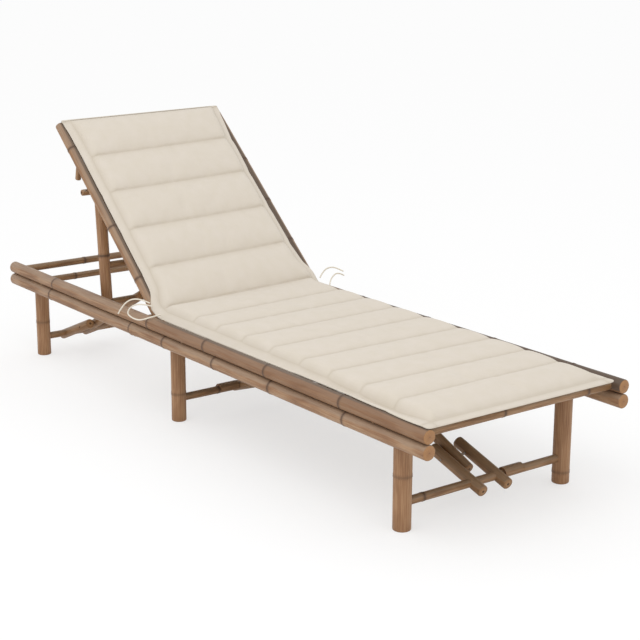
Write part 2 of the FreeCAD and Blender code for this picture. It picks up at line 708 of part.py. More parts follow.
def make_back():
    """Poles, rungs and strips of the back, the rod under them for the prop, and the pegs."""
    angle = "Sizes.backrest_angle"
    up_the_back = (FreeCAD.Vector(0, 1, 0), f"{angle} - 90")
    radius = "Worked.back_radius"
    height = "Sizes.upper_rail_height"
    peg_x, peg_z = on_back("Sizes.peg_place", "0")
    peg_turn = (FreeCAD.Vector(0, 1, 0), "Sizes.peg_lean - 180")
    peg_base_x = f"{peg_x} - Sizes.peg_start * sin(Sizes.peg_lean)"
    peg_base_z = f"{peg_z} - Sizes.peg_start * cos(Sizes.peg_lean)"
    tenon = f"{half('tenon_diameter')} + Sizes.fit"
    pegs = {}
    for where, side in SIDES.items():
        label = f"back_pole_{where}"
        middle = f"({side} * Worked.back_y)"
        tail_x, tail_z = on_back("-Sizes.back_pole_tail", "0")
        length = "Sizes.back_pole_reach + Sizes.back_pole_tail"
        upright = pole(f"{label}_cane", length, radius, (tail_x, middle, tail_z), up_the_back,
                       BACK_POLE_NODES[where])
        reach = f"({radius} + Sizes.edge_bevel)"
        bores = [across(f"{label}_axle_bore", f"{half('back_axle_diameter')} + Sizes.slack",
                        middle, "Worked.backrest_x", height, reach)]
        for letter, place in BACK_RUNG_PLACES.items():
            x, z = on_back(str(place), "0")
            bores.append(side_bore(f"{label}_rung_bore_{letter}", tenon, x, z, side,
                                   "Worked.back_y", radius, "Sizes.tenon_depth"))
        bores.append(rod(f"{label}_peg_bore", f"{half('peg_diameter')} + Sizes.fit",
                         "Sizes.peg_length",
                         (f"{peg_base_x} + Sizes.fit * sin(Sizes.peg_lean)", middle,
                          f"{peg_base_z} + Sizes.fit * cos(Sizes.peg_lean)"), peg_turn))
        keep(drilled(label, upright, bores), label)
        pegs[where] = pole(f"back_peg_{where}_cane", "Sizes.peg_length", half("peg_diameter"),
                           (peg_base_x, middle, peg_base_z), peg_turn)
    rungs = [
        between_poles(f"back_rung_{letter}", half("back_rung_diameter"), *on_back(str(place), "0"),
                      "Worked.back_y", radius)
        for letter, place in BACK_RUNG_PLACES.items()
    ]
    keep(gathered("back_rung_set", rungs), "back_rungs")
    make_back_slats()
    reach = "(Worked.rail_y - Sizes.prop_rod_overhang)"
    keep(cylinder("prop_rod_cane", half("prop_rod_diameter"), f"2 * {reach}",
                  ("Worked.prop_rod_x", f"-{reach}", "Worked.prop_rod_z"), ALONG_Y), "prop_rod")
    for where, peg in pegs.items():
        keep(peg, f"back_peg_{where}")


def between_poles(name, radius, x, z, pole_y, pole_radius):
    """Crosspiece with a tenon in each of two poles."""
    shoulder = f"({pole_y} - {pole_radius} - Sizes.fit)"
    body = rod(name, radius, f"2 * {shoulder}", (x, f"-{shoulder}", z), ALONG_Y)
    reach = f"({pole_y} - {pole_radius} + Sizes.tenon_depth)"
    return tenoned(name, body, f"2 * {reach}", (x, f"-{reach}", z), ALONG_Y)


def make_back_slats():
    """Strips of the back, laid flat at the hinge and then turned up with it."""
    edge = "Worked.back_y - Worked.back_radius - Sizes.back_slat_edge_gap"
    run = strips("back_slats", BACK_SLATS, "Sizes.back_slat_width", edge, "Worked.back_slat_base",
                 "Sizes.back_slat_thickness", "Sizes.back_slat_rise", "-Sizes.back_slat_end",
                 "Sizes.back_slat_end - Sizes.back_slat_start")
    row = gathered("back_slat_row", [run])
    turn = (FreeCAD.Vector(0, 1, 0), "Sizes.backrest_angle")
    keep(put(row, ("Worked.backrest_x", "0", "Sizes.upper_rail_height"), turn), "back_slats")


def foot_mouth(name, middle, reach):
    """Slanted mouth on the head side of a foot, where the rest bar comes out as the prop swings."""
    slant = "(Worked.prop_lean + Sizes.prop_mouth_slant)"
    depth = f"({half('bar_diameter')} + Sizes.slack)"
    run = "(2 * Sizes.prop_pole_diameter)"
    mouth = document.addObject("Part::Box", name)
    mouth.setExpression("Length", run)
    mouth.setExpression("Width", f"2 * {reach}")
    mouth.setExpression("Height", f"2 * {depth}")
    x = f"Worked.head_anchor_x - {run} * cos({slant}) - {depth} * sin({slant})"
    z = f"Worked.head_anchor_z + {run} * sin({slant}) - {depth} * cos({slant})"
    return put(mouth, (x, f"{middle} - {reach}", z), (FreeCAD.Vector(0, 1, 0), slant))


def make_prop():
    """Two poles that hang on the rod and stand on the rest bar, with a crossbar."""
    lean_angle = "Worked.prop_lean"
    turn = (FreeCAD.Vector(0, 1, 0), lean_angle)
    radius = half("prop_pole_diameter")
    length = "Worked.prop_reach - Sizes.prop_saddle_start + Sizes.prop_tail"

    def on_prop(height):
        x = f"(Worked.head_anchor_x + ({height}) * sin({lean_angle}))"
        z = f"(Worked.head_anchor_z + ({height}) * cos({lean_angle}))"
        return x, z

    bar_x, bar_z = on_prop("Sizes.prop_crossbar_height")
    foot_x, foot_z = on_prop("Sizes.prop_saddle_start")
    for where, side in SIDES.items():
        label = f"prop_pole_{where}"
        middle = f"({side} * Worked.prop_y)"
        cane = pole(f"{label}_cane", length, radius, (foot_x, middle, foot_z), turn,
                    (PROP_NODES[where],))
        reach = f"({radius} + Sizes.edge_bevel)"
        bores = [
            across(f"{label}_saddle", f"{half('bar_diameter')} + Sizes.slack", middle,
                   "Worked.head_anchor_x", "Worked.head_anchor_z", reach),
            foot_mouth(f"{label}_mouth", middle, reach),
            across(f"{label}_rod_bore", f"{half('prop_rod_diameter')} + Sizes.slack", middle,
                   "Worked.prop_rod_x", "Worked.prop_rod_z", reach),
            side_bore(f"{label}_crossbar_bore", f"{half('tenon_diameter')} + Sizes.fit", bar_x,
                      bar_z, side, "Worked.prop_y", radius, "Sizes.tenon_depth"),
        ]
        keep(drilled(label, cane, bores), label)
    keep(between_poles("prop_crossbar_cane", half("prop_crossbar_diameter"), bar_x, bar_z,
                       "Worked.prop_y", radius), "prop_crossbar")


def cushion_section(x, base, thickness, draw_in):
    """Closed wire across the cushion: flat below, a thin flange, a shoulder and a level top."""
    width = number("Sizes.cushion_width / 2") - draw_in
    flange = number("Sizes.cushion_flange_thickness")
    inner = width - number("Sizes.cushion_flange")
    shoulder = inner - number("Sizes.cushion_shoulder")
    low = base + flange
    half_outline = [
        (width, base),
        (width, low),
        (inner, low),
        (shoulder, base + thickness),
    ]
    corners = half_outline + [(-y, z) for y, z in reversed(half_outline)]
    points = [FreeCAD.Vector(x, y, z) for y, z in corners]
    return Part.makePolygon(points + points[:1])


def quilted(name, start, seams, end, base):
    """Cushion with sewn channels, thin and drawn in at each seam and full between two."""
    seam = number("Sizes.cushion_seam_thickness")
    crown = number("Sizes.cushion_crown_thickness")
    border = number("Sizes.cushion_border_thickness")
    draw_in = number("Sizes.cushion_draw_in")
    sections = [cushion_section(start, base, border, draw_in)] if start < seams[0] else []
    for left, right in zip(seams, seams[1:]):
        sections.append(cushion_section(left, base, seam, draw_in))
        for share in CROWN_SHARES:
            sections.append(cushion_section(left + (right - left) * share, base, crown, 0))
    sections.append(cushion_section(seams[-1], base, seam, draw_in))
    sections.append(cushion_section(end, base, border, draw_in))
    cushion = document.addObject("Part::Feature", name)
    cushion.Shape = Part.makeLoft(sections, True, True)
    return cushion


def make_cushion():
    """Seat and back of the quilted cushion, each with its channels across the bed."""
    flange = number("Sizes.cushion_flange")
    lift = number("Sizes.slack")
    seat_start = number("Sizes.seat_cushion_start")
    seat_end = number("Worked.foot_end + Sizes.seat_cushion_overhang")
    step = (seat_end - flange - seat_start) / SEAT_CHANNELS
    seams = [seat_start + step * index for index in range(SEAT_CHANNELS + 1)]
    top = number("Worked.seat_top + Sizes.seat_slat_thickness")
    keep(quilted("seat_quilt", seat_start, seams, seat_end, top + lift), "cushion_seat")
    back_start = number("Sizes.back_cushion_start")
    back_end = number("Sizes.back_cushion_end")
    step = (back_end - flange - back_start) / BACK_CHANNELS
    seams = [-(back_end - flange) + step * index for index in range(BACK_CHANNELS + 1)]
    top = number("Worked.back_slat_base + Sizes.back_slat_thickness")
    turned = [-place for place in reversed(seams)]
    back = quilted("back_quilt", back_start, turned, back_end, top + lift)
    flip = FreeCAD.Placement(FreeCAD.Vector(), FreeCAD.Rotation(FreeCAD.Vector(0, 0, 1), 180))
    back.Shape = back.Shape.transformGeometry(flip.toMatrix())
    put(back, ("Worked.backrest_x", "0", "Sizes.upper_rail_height"),
        (FreeCAD.Vector(0, 1, 0), "Sizes.backrest_angle"))
    keep(back, "cushion_back")


def cord_path(points, label):
    """Straight runs joined by tangent arcs, each as large as its two runs allow."""
    edges = []
    radii = []
    last = points[0]
    for before, corner, after in zip(points, points[1:], points[2:]):
        back = before - corner
        ahead = after - corner
        shorter = min(back.Length, ahead.Length)
        half_turn = (math.pi - back.getAngle(ahead)) / 2
        radius = 0.45 * shorter / math.tan(half_turn)
        touch = 0.45 * shorter
        arc_start = corner + back.normalize() * touch
        arc_end = corner + ahead.normalize() * touch
        inward = (back + ahead).normalize()
        centre_distance = math.hypot(radius, touch)
        middle = corner + inward * (centre_distance - radius)
        edges.append(Part.LineSegment(last, arc_start).toShape())
        edges.append(Part.Arc(arc_start, middle, arc_end).toShape())
        radii.append(radius)
        last = arc_end
    edges.append(Part.LineSegment(last, points[-1]).toShape())
    print(f"{label}: arc radii {min(radii):.0f} to {max(radii):.0f} mm")
    return Part.Wire(edges)


def tie(name, route):
    """Tie cord as a four-sided tube along a route chosen by hand."""
    points = [FreeCAD.Vector(*point) for point in route]
    path = cord_path(points, name)
    radius = number("Sizes.tie_diameter / 2")
    heading = (points[1] - points[0]).normalize()
    sideways = heading.cross(FreeCAD.Vector(0, 0, 1)).normalize() * radius
    upward = heading.cross(sideways).normalize() * radius
    corners = [points[0] + step for step in (sideways, upward, -sideways, -upward)]
    tube = path.makePipeShell([Part.makePolygon(corners + corners[:1])], True, False)
    section = 2 * radius * radius
    share = tube.Volume / (section * path.Length)
    print(f"{name}: length {path.Length:.0f} mm, volume {share:.4f} of its section")
    cord = document.addObject("Part::Feature", name)
    cord.Shape = tube
    return keep(cord, name)


def check_and_export():
    """Stop on any failed object, and write each node's solid to its own file."""
    document.recompute()
    for thing in document.Objects:
        if "Invalid" in thing.State or "Error" in thing.State:
            raise RuntimeError(f"{thing.Label} failed: {thing.State}")
    for node in nodes:
        if node.Shape.isNull() or not node.Shape.isValid():
            raise RuntimeError(f"{node.Label} has no valid shape")
    os.makedirs("parts", exist_ok=True)
    for node in nodes:
        node.Shape.exportStep(os.path.join("parts", f"{node.Label}.step"))
    print(f"{len(nodes)} nodes written")


fill_sheet()
work_out_frame()
for brace_name, brace_side in BRACE_SIDES.items():
    work_out_brace(brace_name, brace_side)
work_out_back()
make_rails()
make_crosspieces()
make_seat_slats()
for set_name in BRACE_SIDES:
    make_legs(set_name)
    make_brace(set_name)
make_back()
make_prop()
make_cushion()
for tie_name, tie_route in TIE_ROUTES.items():
    tie(tie_name, tie_route)
check_and_export()
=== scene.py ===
"""Look of the folding bamboo sun lounger: bamboo poles, split strips, a quilted canvas cushion
and its tie cords, on a pale floor under soft studio light.

Metres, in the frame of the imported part: X to the foot end, Y to the far side, Z up.
"""
import bpy
import json
import math
from mathutils import Matrix, Vector, noise


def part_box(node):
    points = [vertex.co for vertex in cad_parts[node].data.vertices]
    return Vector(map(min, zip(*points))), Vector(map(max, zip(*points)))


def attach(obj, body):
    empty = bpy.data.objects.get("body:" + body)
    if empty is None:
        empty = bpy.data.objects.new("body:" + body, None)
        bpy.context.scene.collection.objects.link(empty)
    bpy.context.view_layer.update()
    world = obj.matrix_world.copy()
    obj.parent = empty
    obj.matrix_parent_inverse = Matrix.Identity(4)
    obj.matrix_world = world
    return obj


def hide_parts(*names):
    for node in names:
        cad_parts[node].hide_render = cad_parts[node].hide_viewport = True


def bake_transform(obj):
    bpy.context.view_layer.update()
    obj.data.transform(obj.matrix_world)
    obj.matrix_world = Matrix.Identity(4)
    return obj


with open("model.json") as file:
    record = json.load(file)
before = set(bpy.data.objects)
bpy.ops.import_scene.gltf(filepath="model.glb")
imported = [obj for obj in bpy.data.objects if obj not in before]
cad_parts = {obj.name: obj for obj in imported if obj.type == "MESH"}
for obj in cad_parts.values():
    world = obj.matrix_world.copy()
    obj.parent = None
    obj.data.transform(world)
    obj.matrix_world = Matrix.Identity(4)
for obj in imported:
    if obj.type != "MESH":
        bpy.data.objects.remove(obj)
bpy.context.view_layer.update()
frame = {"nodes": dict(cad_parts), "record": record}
MM = 0.001
SIDES = ("near", "far")

# Camera of the photograph: angles in degrees, lens and sensor in millimetres
CAMERA_PLACE = (3.3737, -2.3862, 1.3848)
CAMERA_AZIMUTH = 53.3646
CAMERA_TILT = 15.1108
CAMERA_ROLL = 0.14
LENS = 86.9
SENSOR = 36
SHIFT_X = 0.0117
SHIFT_Y = 0.0008

# Soft lamp above the near side, and the pale floor
LAMP_PLACE = (1.2, -2.2, 3.6)
LAMP_AIM = (0, 0, 0.3)
LAMP_SIZE = 3.5
LAMP_WATTS = 38
FLOOR_SIZE = 120
FLOOR_WHITENESS = 0.62

# Directions of the poles
BACK_ANGLE = math.radians(41)
PEG_LEAN = math.radians(12)
ALONG = Vector((1, 0, 0))
ACROSS = Vector((0, 1, 0))
UPRIGHT = Vector((0, 0, 1))
UP_THE_BACK = Vector((-math.cos(BACK_ANGLE), 0, math.sin(BACK_ANGLE)))
DOWN_THE_PEG = Vector((-math.sin(PEG_LEAN), 0, -math.cos(PEG_LEAN)))

# Bar that the link of each pair of legs turns on
ANCHORS = {"head": "prop_rest_bar", "middle": "middle_anchor_bar", "foot": "foot_anchor_bar"}

# Radii of the poles between their growth rings
UPPER_RAIL_RADIUS = 17.5 * MM
LOWER_RAIL_RADIUS = 18 * MM
BRACE_RADIUS = 14.5 * MM
LINK_RADIUS = 14 * MM
BACK_POLE_RADIUS = 14.3 * MM
PROP_POLE_RADIUS = 16.5 * MM
PEG_RADIUS = 8.5 * MM
RUNG_RADIUS = 12.5 * MM
SPLIT_CANE_RADIUS = 17 * MM

# The same in millimetres for the legs, and for the poles that lie across
LEG_RADII = {"head": 21, "middle": 20.5, "foot": 22}
CROSS_RADII = {
    "head_crossbar": 10.5, "foot_crossbar": 12.5, "head_leg_axle": 10, "middle_leg_axle": 10,
    "foot_leg_axle": 10, "prop_rest_bar": 10, "middle_anchor_bar": 10, "foot_anchor_bar": 10,
    "backrest_axle": 9, "prop_crossbar": 10, "prop_rod": 9, "head_stretcher": 10.5,
    "middle_stretcher": 10.5, "foot_stretcher": 10.5,
}

# Growth rings, as shares of each pole's length from its start
RINGS = {
    "upper_rail_near": (0.142, 0.419, 0.56, 0.698, 0.849),
    "upper_rail_far": (0.205, 0.352, 0.497, 0.641, 0.773, 0.915),
    "lower_rail_near": (0.131, 0.37, 0.458, 0.581, 0.707, 0.856),
    "lower_rail_far": (0.168, 0.303, 0.514, 0.668, 0.79, 0.934),
    "head_crossbar": (0.36,), "foot_crossbar": (0.405, 0.853),
    "head_leg_axle": (0.27,), "middle_leg_axle": (0.63,), "foot_leg_axle": (0.41,),
    "prop_rest_bar": (0.55,), "middle_anchor_bar": (0.33,), "foot_anchor_bar": (0.72,),
    "backrest_axle": (0.5,), "prop_crossbar": (0.44,), "prop_rod": (0.31, 0.78),
    "head_stretcher": (0.71,), "middle_stretcher": (0.24,), "foot_stretcher": (0.1, 0.62),
    "head_leg_near": (0.42,), "head_leg_far": (0.3,), "middle_leg_near": (0.31,),
    "middle_leg_far": (0.45,), "foot_leg_near": (0.52,), "foot_leg_far": (0.12,),
    "head_link": (0.62,), "middle_link": (0.55,), "foot_link": (0.4,),
    "back_pole_near": (0.22, 0.47, 0.87), "back_pole_far": (0.29, 0.5, 0.72),
    "prop_pole_near": (0.38,), "prop_pole_far": (0.36,),
}
# Ring where the cane steps out to a thicker joint
THICK_RINGS = {"lower_rail_near": 0.37}

# Bamboo: a few dozen flat sides read as round, and a pole's skin swells at each growth ring
SIDES_ROUND = 28
RING_RISE = 0.9 * MM
RING_WIDTH = 13 * MM
RING_GROOVE = 0.5 * MM
THICK_RISE = 2.4 * MM
STATION_STEP = 70 * MM
END_ROUNDING = 2.8 * MM
END_TOLERANCE = 0.1 * MM
PITH_DEPTH = 5 * MM
BOW_OF_RAIL = 1.1 * MM
BOW_SEED = 1
BOWS_PER_METRE = 2.3
BULGE_OF_POLE = 0.35 * MM
BULGES_PER_METRE = 24
CANE_CREASE = math.radians(38)
SCAR_REACH = 9 * MM
SCAR_DEPTH = 0.85
LEG_SCAR_DEPTH = 0.4

# Share of a cut end that is hollow: rails are cut beside a ring and look solid
PITH_SHARES = {"rail": 0.05, "pole": 0.14, "brown": 0.24, "strip": 0.05}
OPEN_ROD_SHARE = 0.55

# Place along X from which a rail gets painted shade beside the cushion; the poles of the back get it
# all along
RAIL_SHADE_START = -160 * MM
SHADE_ALL_ALONG = -1

# Height at which the fibre pattern of the small canes is centred
RUNG_LEVEL = 275 * MM
KEEPER_LEVEL = 60 * MM
DOWEL_LEVEL = 260 * MM
STRIP_LEVEL = 290 * MM

# Nail heads: a short side, and a dome in steps of inset and rise
NAIL_SIDES = 14
NAIL_RADIUS = 2.6 * MM
NAIL_HEIGHT = 1.7 * MM
NAIL_DOME = ((0.5 * MM, 0.4 * MM), (0.8 * MM, 0.2 * MM))
NAIL_CREASE = math.radians(50)
NAIL_BELOW_MIDDLE = 1 * MM
NAIL_SINK = 0.6 * MM
ROD_NAIL_Y = 287 * MM
ROD_NAIL_LEAN = Vector((0.6, 0, 0.8))

# Skin colours of bamboo cane, weathered outdoors: dark streaks, body, light streaks, and the grey of
# a painted sheen on what faces up
SKINS = {
    "rail": ("#73533b", "#8f6a4b", "#a68566", "#927f6d"),
    "pole": ("#7a563b", "#916a49", "#a6805d", "#927c66"),
    "brown": ("#5f432f", "#85623f", "#a07d5c", "#86745f"),
    "strip": ("#8a7053", "#b39873", "#cdb590", "#a3967f"),
}

# Cut ends: wall and its inner part
END_GRAINS = {
    "rail": ("#a0744b", "#8f6441"),
    "pole": ("#96704b", "#845e3e"),
    "brown": ("#86623f", "#9b7650"),
    "strip": ("#b0936b", "#9c7f59"),
}

# Sockets of a mix of two colours: its share, the colours, and what comes out
SHARE = 0
FIRST = 6
SECOND = 7
RESULT = 2


def colour(code):
    """Linear colour of an sRGB hex code."""
    parts = [int(code[start:start + 2], 16) / 255 for start in (1, 3, 5)]
    linear = [part / 12.92 if part <= 0.04045 else ((part + 0.055) / 1.055) ** 2.4 for part in parts]
    return (*linear, 1)


def add(tree, kind, settings=None, links=None, stops=()):
    """Add a node with its settings, its links, and the stops of a colour ramp.

    A hex code given to an input is a colour. A link comes from a socket, or from the first output
    of a node. Each stop is a place and its colour or grey.
    """
    made = tree.nodes.new(kind)
    for name, value in (settings or {}).items():
        if isinstance(name, int) or name in made.inputs:
            made.inputs[name].default_value = colour(value) if isinstance(value, str) else value
        else:
            setattr(made, name, value)
    for name, source in (links or {}).items():
        start = source.outputs[0] if isinstance(source, bpy.types.Node) else source
        tree.links.new(start, made.inputs[name])
    if stops:
        elements = made.color_ramp.elements
        elements.remove(elements[1])
        elements[0].position = stops[0][0]
        for place, shade in stops[1:]:
            elements.new(place)
        for element, (place, shade) in zip(elements, stops):
            element.color = colour(shade) if isinstance(shade, str) else (shade, shade, shade, 1)
    return made


def new_material(name):
    """Material with an empty shader, its tree and its shader."""
    made = bpy.data.materials.new(name)
    made.use_nodes = True
    return made, made.node_tree, made.node_tree.nodes["Principled BSDF"]


def streaky_skin_with_sheen(tree, skin, normal, streaks, patches):
    """Streaky skin of a cane, with a painted grey sheen on what faces up, broken by the patches."""
    dark, body, light, grey = SKINS[skin]
    fine = add(tree, "ShaderNodeMath", {"operation": "MULTIPLY", 1: 0.55}, {0: streaks})
    broad = add(tree, "ShaderNodeMath", {"operation": "MULTIPLY", 1: 0.45}, {0: patches})
    blend = add(tree, "ShaderNodeMath", {"operation": "ADD"}, {0: fine, 1: broad})
    cane = add(tree, "ShaderNodeValToRGB", links={"Fac": blend},
               stops=((0.3, dark), (0.47, body), (0.6, light), (0.72, body)))
    # Painted sheen: what faces up is mixed towards grey, for light reflected from above
    lifted = add(tree, "ShaderNodeMath", {"operation": "ADD"},
                 {0: normal.outputs["Z"], 1: patches})
    painted_sheen = add(tree, "ShaderNodeValToRGB", links={"Fac": lifted}, stops=((0.75, 0.0), (1.0, 0.52)))
    return add(tree, "ShaderNodeMix", {"data_type": "RGBA", SECOND: grey},
               {SHARE: painted_sheen, FIRST: cane}).outputs[RESULT]


def painted_cushion_shade(tree, shade, place, normal, patches, inward, start, painted_brown_shade):
    """Painted shade beside the cushion: browner when asked for, and dark grey-brown on what faces the
    cushion.
    """
    sideways = add(tree, "ShaderNodeMath", {"operation": "MULTIPLY", 1: 0.75 * inward},
                   {0: normal.outputs["Y"]})
    upward = add(tree, "ShaderNodeMath", {"operation": "MULTIPLY", 1: 0.62},
                 {0: normal.outputs["Z"]})
    uneven = add(tree, "ShaderNodeMath", {"operation": "MULTIPLY", 1: 0.3}, {0: patches})
    turned = add(tree, "ShaderNodeMath", {"operation": "ADD"}, {0: sideways, 1: upward})
    turned = add(tree, "ShaderNodeMath", {"operation": "ADD"}, {0: turned, 1: uneven})
    # The painted shade fades in over 83 mm, a twelfth of a metre
    spot = add(tree, "ShaderNodeSeparateXYZ", links={"Vector": place.outputs["Object"]})
    past = add(tree, "ShaderNodeMath", {"operation": "SUBTRACT", 1: start}, {0: spot.outputs["X"]})
    reach = add(tree, "ShaderNodeMath", {"operation": "MULTIPLY", 1: 12}, {0: past})
    beside = add(tree, "ShaderNodeValToRGB", links={"Fac": reach}, stops=((0.0, 0.0), (1.0, 1.0)))
    # Painted shade: beside the cushion an upper rail turns browner
    if painted_brown_shade:
        brown = add(tree, "ShaderNodeMath", {"operation": "MULTIPLY", 1: 0.55}, {0: beside})
        shade = add(tree, "ShaderNodeMix", {"data_type": "RGBA", SECOND: "#765236"},
                    {SHARE: brown, FIRST: shade}).outputs[RESULT]
    facing = add(tree, "ShaderNodeValToRGB", links={"Fac": turned}, stops=((0.3, 0.0), (0.52, 0.8)))
    painted_shade = add(tree, "ShaderNodeMath", {"operation": "MULTIPLY"}, {0: facing, 1: beside})
    # Painted shade: what faces the cushion turns dark grey-brown
    painted_shade_colour = "#5d5044" if inward > 0 else "#483d33"
    return add(tree, "ShaderNodeMix", {"data_type": "RGBA", SECOND: painted_shade_colour},
               {SHARE: painted_shade, FIRST: shade}).outputs[RESULT]


def ring_scars(tree, shade, parts, rings, depth):
    """A dark scar line at each growth ring, 2 mm wide and faded out over some 8 mm more."""
    scar = None
    for ring in rings:
        offset = add(tree, "ShaderNodeMath", {"operation": "SUBTRACT", 1: ring},
                     {0: parts.outputs["X"]})
        gap = add(tree, "ShaderNodeMath", {"operation": "ABSOLUTE"}, {0: offset})
        reach = add(tree, "ShaderNodeMath", {"operation": "MULTIPLY", 1: 1 / SCAR_REACH}, {0: gap})
        line = add(tree, "ShaderNodeValToRGB", links={"Fac": reach},
                   stops=((0.12, 1.0), (0.5, 0.35), (1.0, 0.0)))
        if scar is None:
            scar = line
        else:
            scar = add(tree, "ShaderNodeMath", {"operation": "MAXIMUM"}, {0: scar, 1: line})
    share = add(tree, "ShaderNodeMath", {"operation": "MULTIPLY", 1: depth}, {0: scar})
    return add(tree, "ShaderNodeMix", {"data_type": "RGBA", SECOND: "#4b3526"},
               {SHARE: share, FIRST: shade}).outputs[RESULT]


def cut_ends(tree, shade, skin, local, parts, facing, radius, pith):
    """Cut ends: fibres as dots about 2 mm across, a dark rim, and painted shade in the hollow pith in
    the middle.
    """
    outer, inner = END_GRAINS[skin]
    level = add(tree, "ShaderNodeSeparateXYZ", links={"Vector": facing})
    square = add(tree, "ShaderNodeMath", {"operation": "ABSOLUTE"}, {0: level.outputs["X"]})
    end = add(tree, "ShaderNodeValToRGB", links={"Fac": square}, stops=((0.6, 0.0), (0.85, 1.0)))
    flat = add(tree, "ShaderNodeCombineXYZ", links={"Y": parts.outputs["Y"],
                                                    "Z": parts.outputs["Z"]})
    across = add(tree, "ShaderNodeVectorMath", {"operation": "LENGTH"}, {0: flat})
    out = add(tree, "ShaderNodeMath", {"operation": "DIVIDE", 1: radius},
              {0: across.outputs["Value"]})
    # Painted shade: near black in the hollow middle
    wall = add(tree, "ShaderNodeValToRGB", links={"Fac": out}, stops=(
        (0.0, "#3a2417"), (pith * 0.9, "#4a2f1f"), (pith * 1.15 + 0.03, inner),
        (0.75, outer), (0.9, outer), (1.0, "#6d4b33")))
    dots = add(tree, "ShaderNodeTexVoronoi", {"Scale": 480}, {"Vector": local})
    grain = add(tree, "ShaderNodeValToRGB", links={"Fac": dots.outputs["Distance"]},
                stops=((0.0, "#6e4a30"), (0.45, "#a2784f"), (1.0, "#b48d65")))
    fibres = add(tree, "ShaderNodeMix", {"data_type": "RGBA", SHARE: 0.3},
                 {FIRST: wall, SECOND: grain})
    return add(tree, "ShaderNodeMix", {"data_type": "RGBA"},
               {SHARE: end, FIRST: shade, SECOND: fibres.outputs[RESULT]}).outputs[RESULT]


def bamboo(name, skin, centre, axis, rings=(), radius=SPLIT_CANE_RADIUS, scar_depth=SCAR_DEPTH,
           cushion_shade_from=None, painted_brown_shade=False, pith=0.1):
    """Dried moso bamboo, sanded and left raw: streaky skin, dark scars at the growth rings, a painted
    grey sheen on what faces up, painted shade beside the cushion when asked for, and orange-tan
    fibres with painted shade in the hollow pith at the cut ends."""
    made, tree, shader = new_material(name)
    turn = ALONG.rotation_difference(axis).to_euler()
    place = add(tree, "ShaderNodeTexCoord")
    normal = add(tree, "ShaderNodeSeparateXYZ", links={"Vector": place.outputs["Normal"]})
    local = add(tree, "ShaderNodeMapping", {"vector_type": "TEXTURE", "Location": centre,
                                            "Rotation": turn}, {"Vector": place.outputs["Object"]})
    facing = add(tree, "ShaderNodeMapping", {"vector_type": "TEXTURE", "Rotation": turn},
                 {"Vector": place.outputs["Normal"]})
    parts = add(tree, "ShaderNodeSeparateXYZ", links={"Vector": local})
    # Fibre streaks about 3 mm wide and 90 mm long, coarser than real ones so that they show
    streak_place = add(tree, "ShaderNodeMapping", {"Scale": (11, 330, 330)}, {"Vector": local})
    streaks = add(tree, "ShaderNodeTexNoise", {"Scale": 1, "Detail": 4, "Roughness": 0.6},
                  {"Vector": streak_place})
    # Patches a hand's width long, where the skin was scraped more or less
    patch_place = add(tree, "ShaderNodeMapping", {"Scale": (9, 38, 38)}, {"Vector": local})
    patches = add(tree, "ShaderNodeTexNoise", {"Scale": 1, "Detail": 3, "Roughness": 0.55},
                  {"Vector": patch_place})
    shade = streaky_skin_with_sheen(tree, skin, normal, streaks, patches)
    # Painted shade on the side beside the cushion
    if cushion_shade_from is not None:
        inward = -1 if centre.y > 0 else 1
        shade = painted_cushion_shade(tree, shade, place, normal, patches, inward, cushion_shade_from, painted_brown_shade)
    if rings:
        shade = ring_scars(tree, shade, parts, rings, scar_depth)
    shade = cut_ends(tree, shade, skin, local, parts, facing, radius, pith)
    rough = add(tree, "ShaderNodeValToRGB", links={"Fac": streaks}, stops=((0.3, 0.62), (0.7, 0.44)))
    bump = add(tree, "ShaderNodeBump", {"Strength": 0.35, "Distance": 0.6 * MM}, {"Height": streaks})
    shader.inputs["IOR"].default_value = 1.5
    shader.inputs["Specular IOR Level"].default_value = 0.42
    tree.links.new(shade, shader.inputs["Base Color"])
    tree.links.new(rough.outputs["Color"], shader.inputs["Roughness"])
    tree.links.new(bump.outputs["Normal"], shader.inputs["Normal"])
    return made


def only(piece):
    """Select one piece and nothing else."""
    bpy.ops.object.select_all(action="DESELECT")
    piece.select_set(True)
    bpy.context.view_layer.objects.active = piece


def dress(piece, material):
    """Give a piece one material all over."""
    piece.data.materials.clear()
    piece.data.materials.append(material)


def middle_of(node):
    """Middle of a CAD node's box."""
    lowest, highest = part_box(node)
    return (lowest + highest) / 2


def heading(first, second):
    """Direction, seen from the side, from one node's middle to another's."""
    step = middle_of(second) - middle_of(first)
    return Vector((step.x, 0, step.z)).normalized()


def cad_axis(node, axis):
    """Start and end of a straight pole's middle line, from the node that holds it."""
    middle = middle_of(node)
    places = [vertex.co.dot(axis) for vertex in frame["nodes"][node].data.vertices]
    level = middle.dot(axis)
    return middle + axis * (min(places) - level), middle + axis * (max(places) - level)


def body_holding(node):
    """Body that a node moves with."""
    bodies = frame["record"]["behaviour"]["bodies"]
    return next(name for name, members in bodies.items() if node in members)


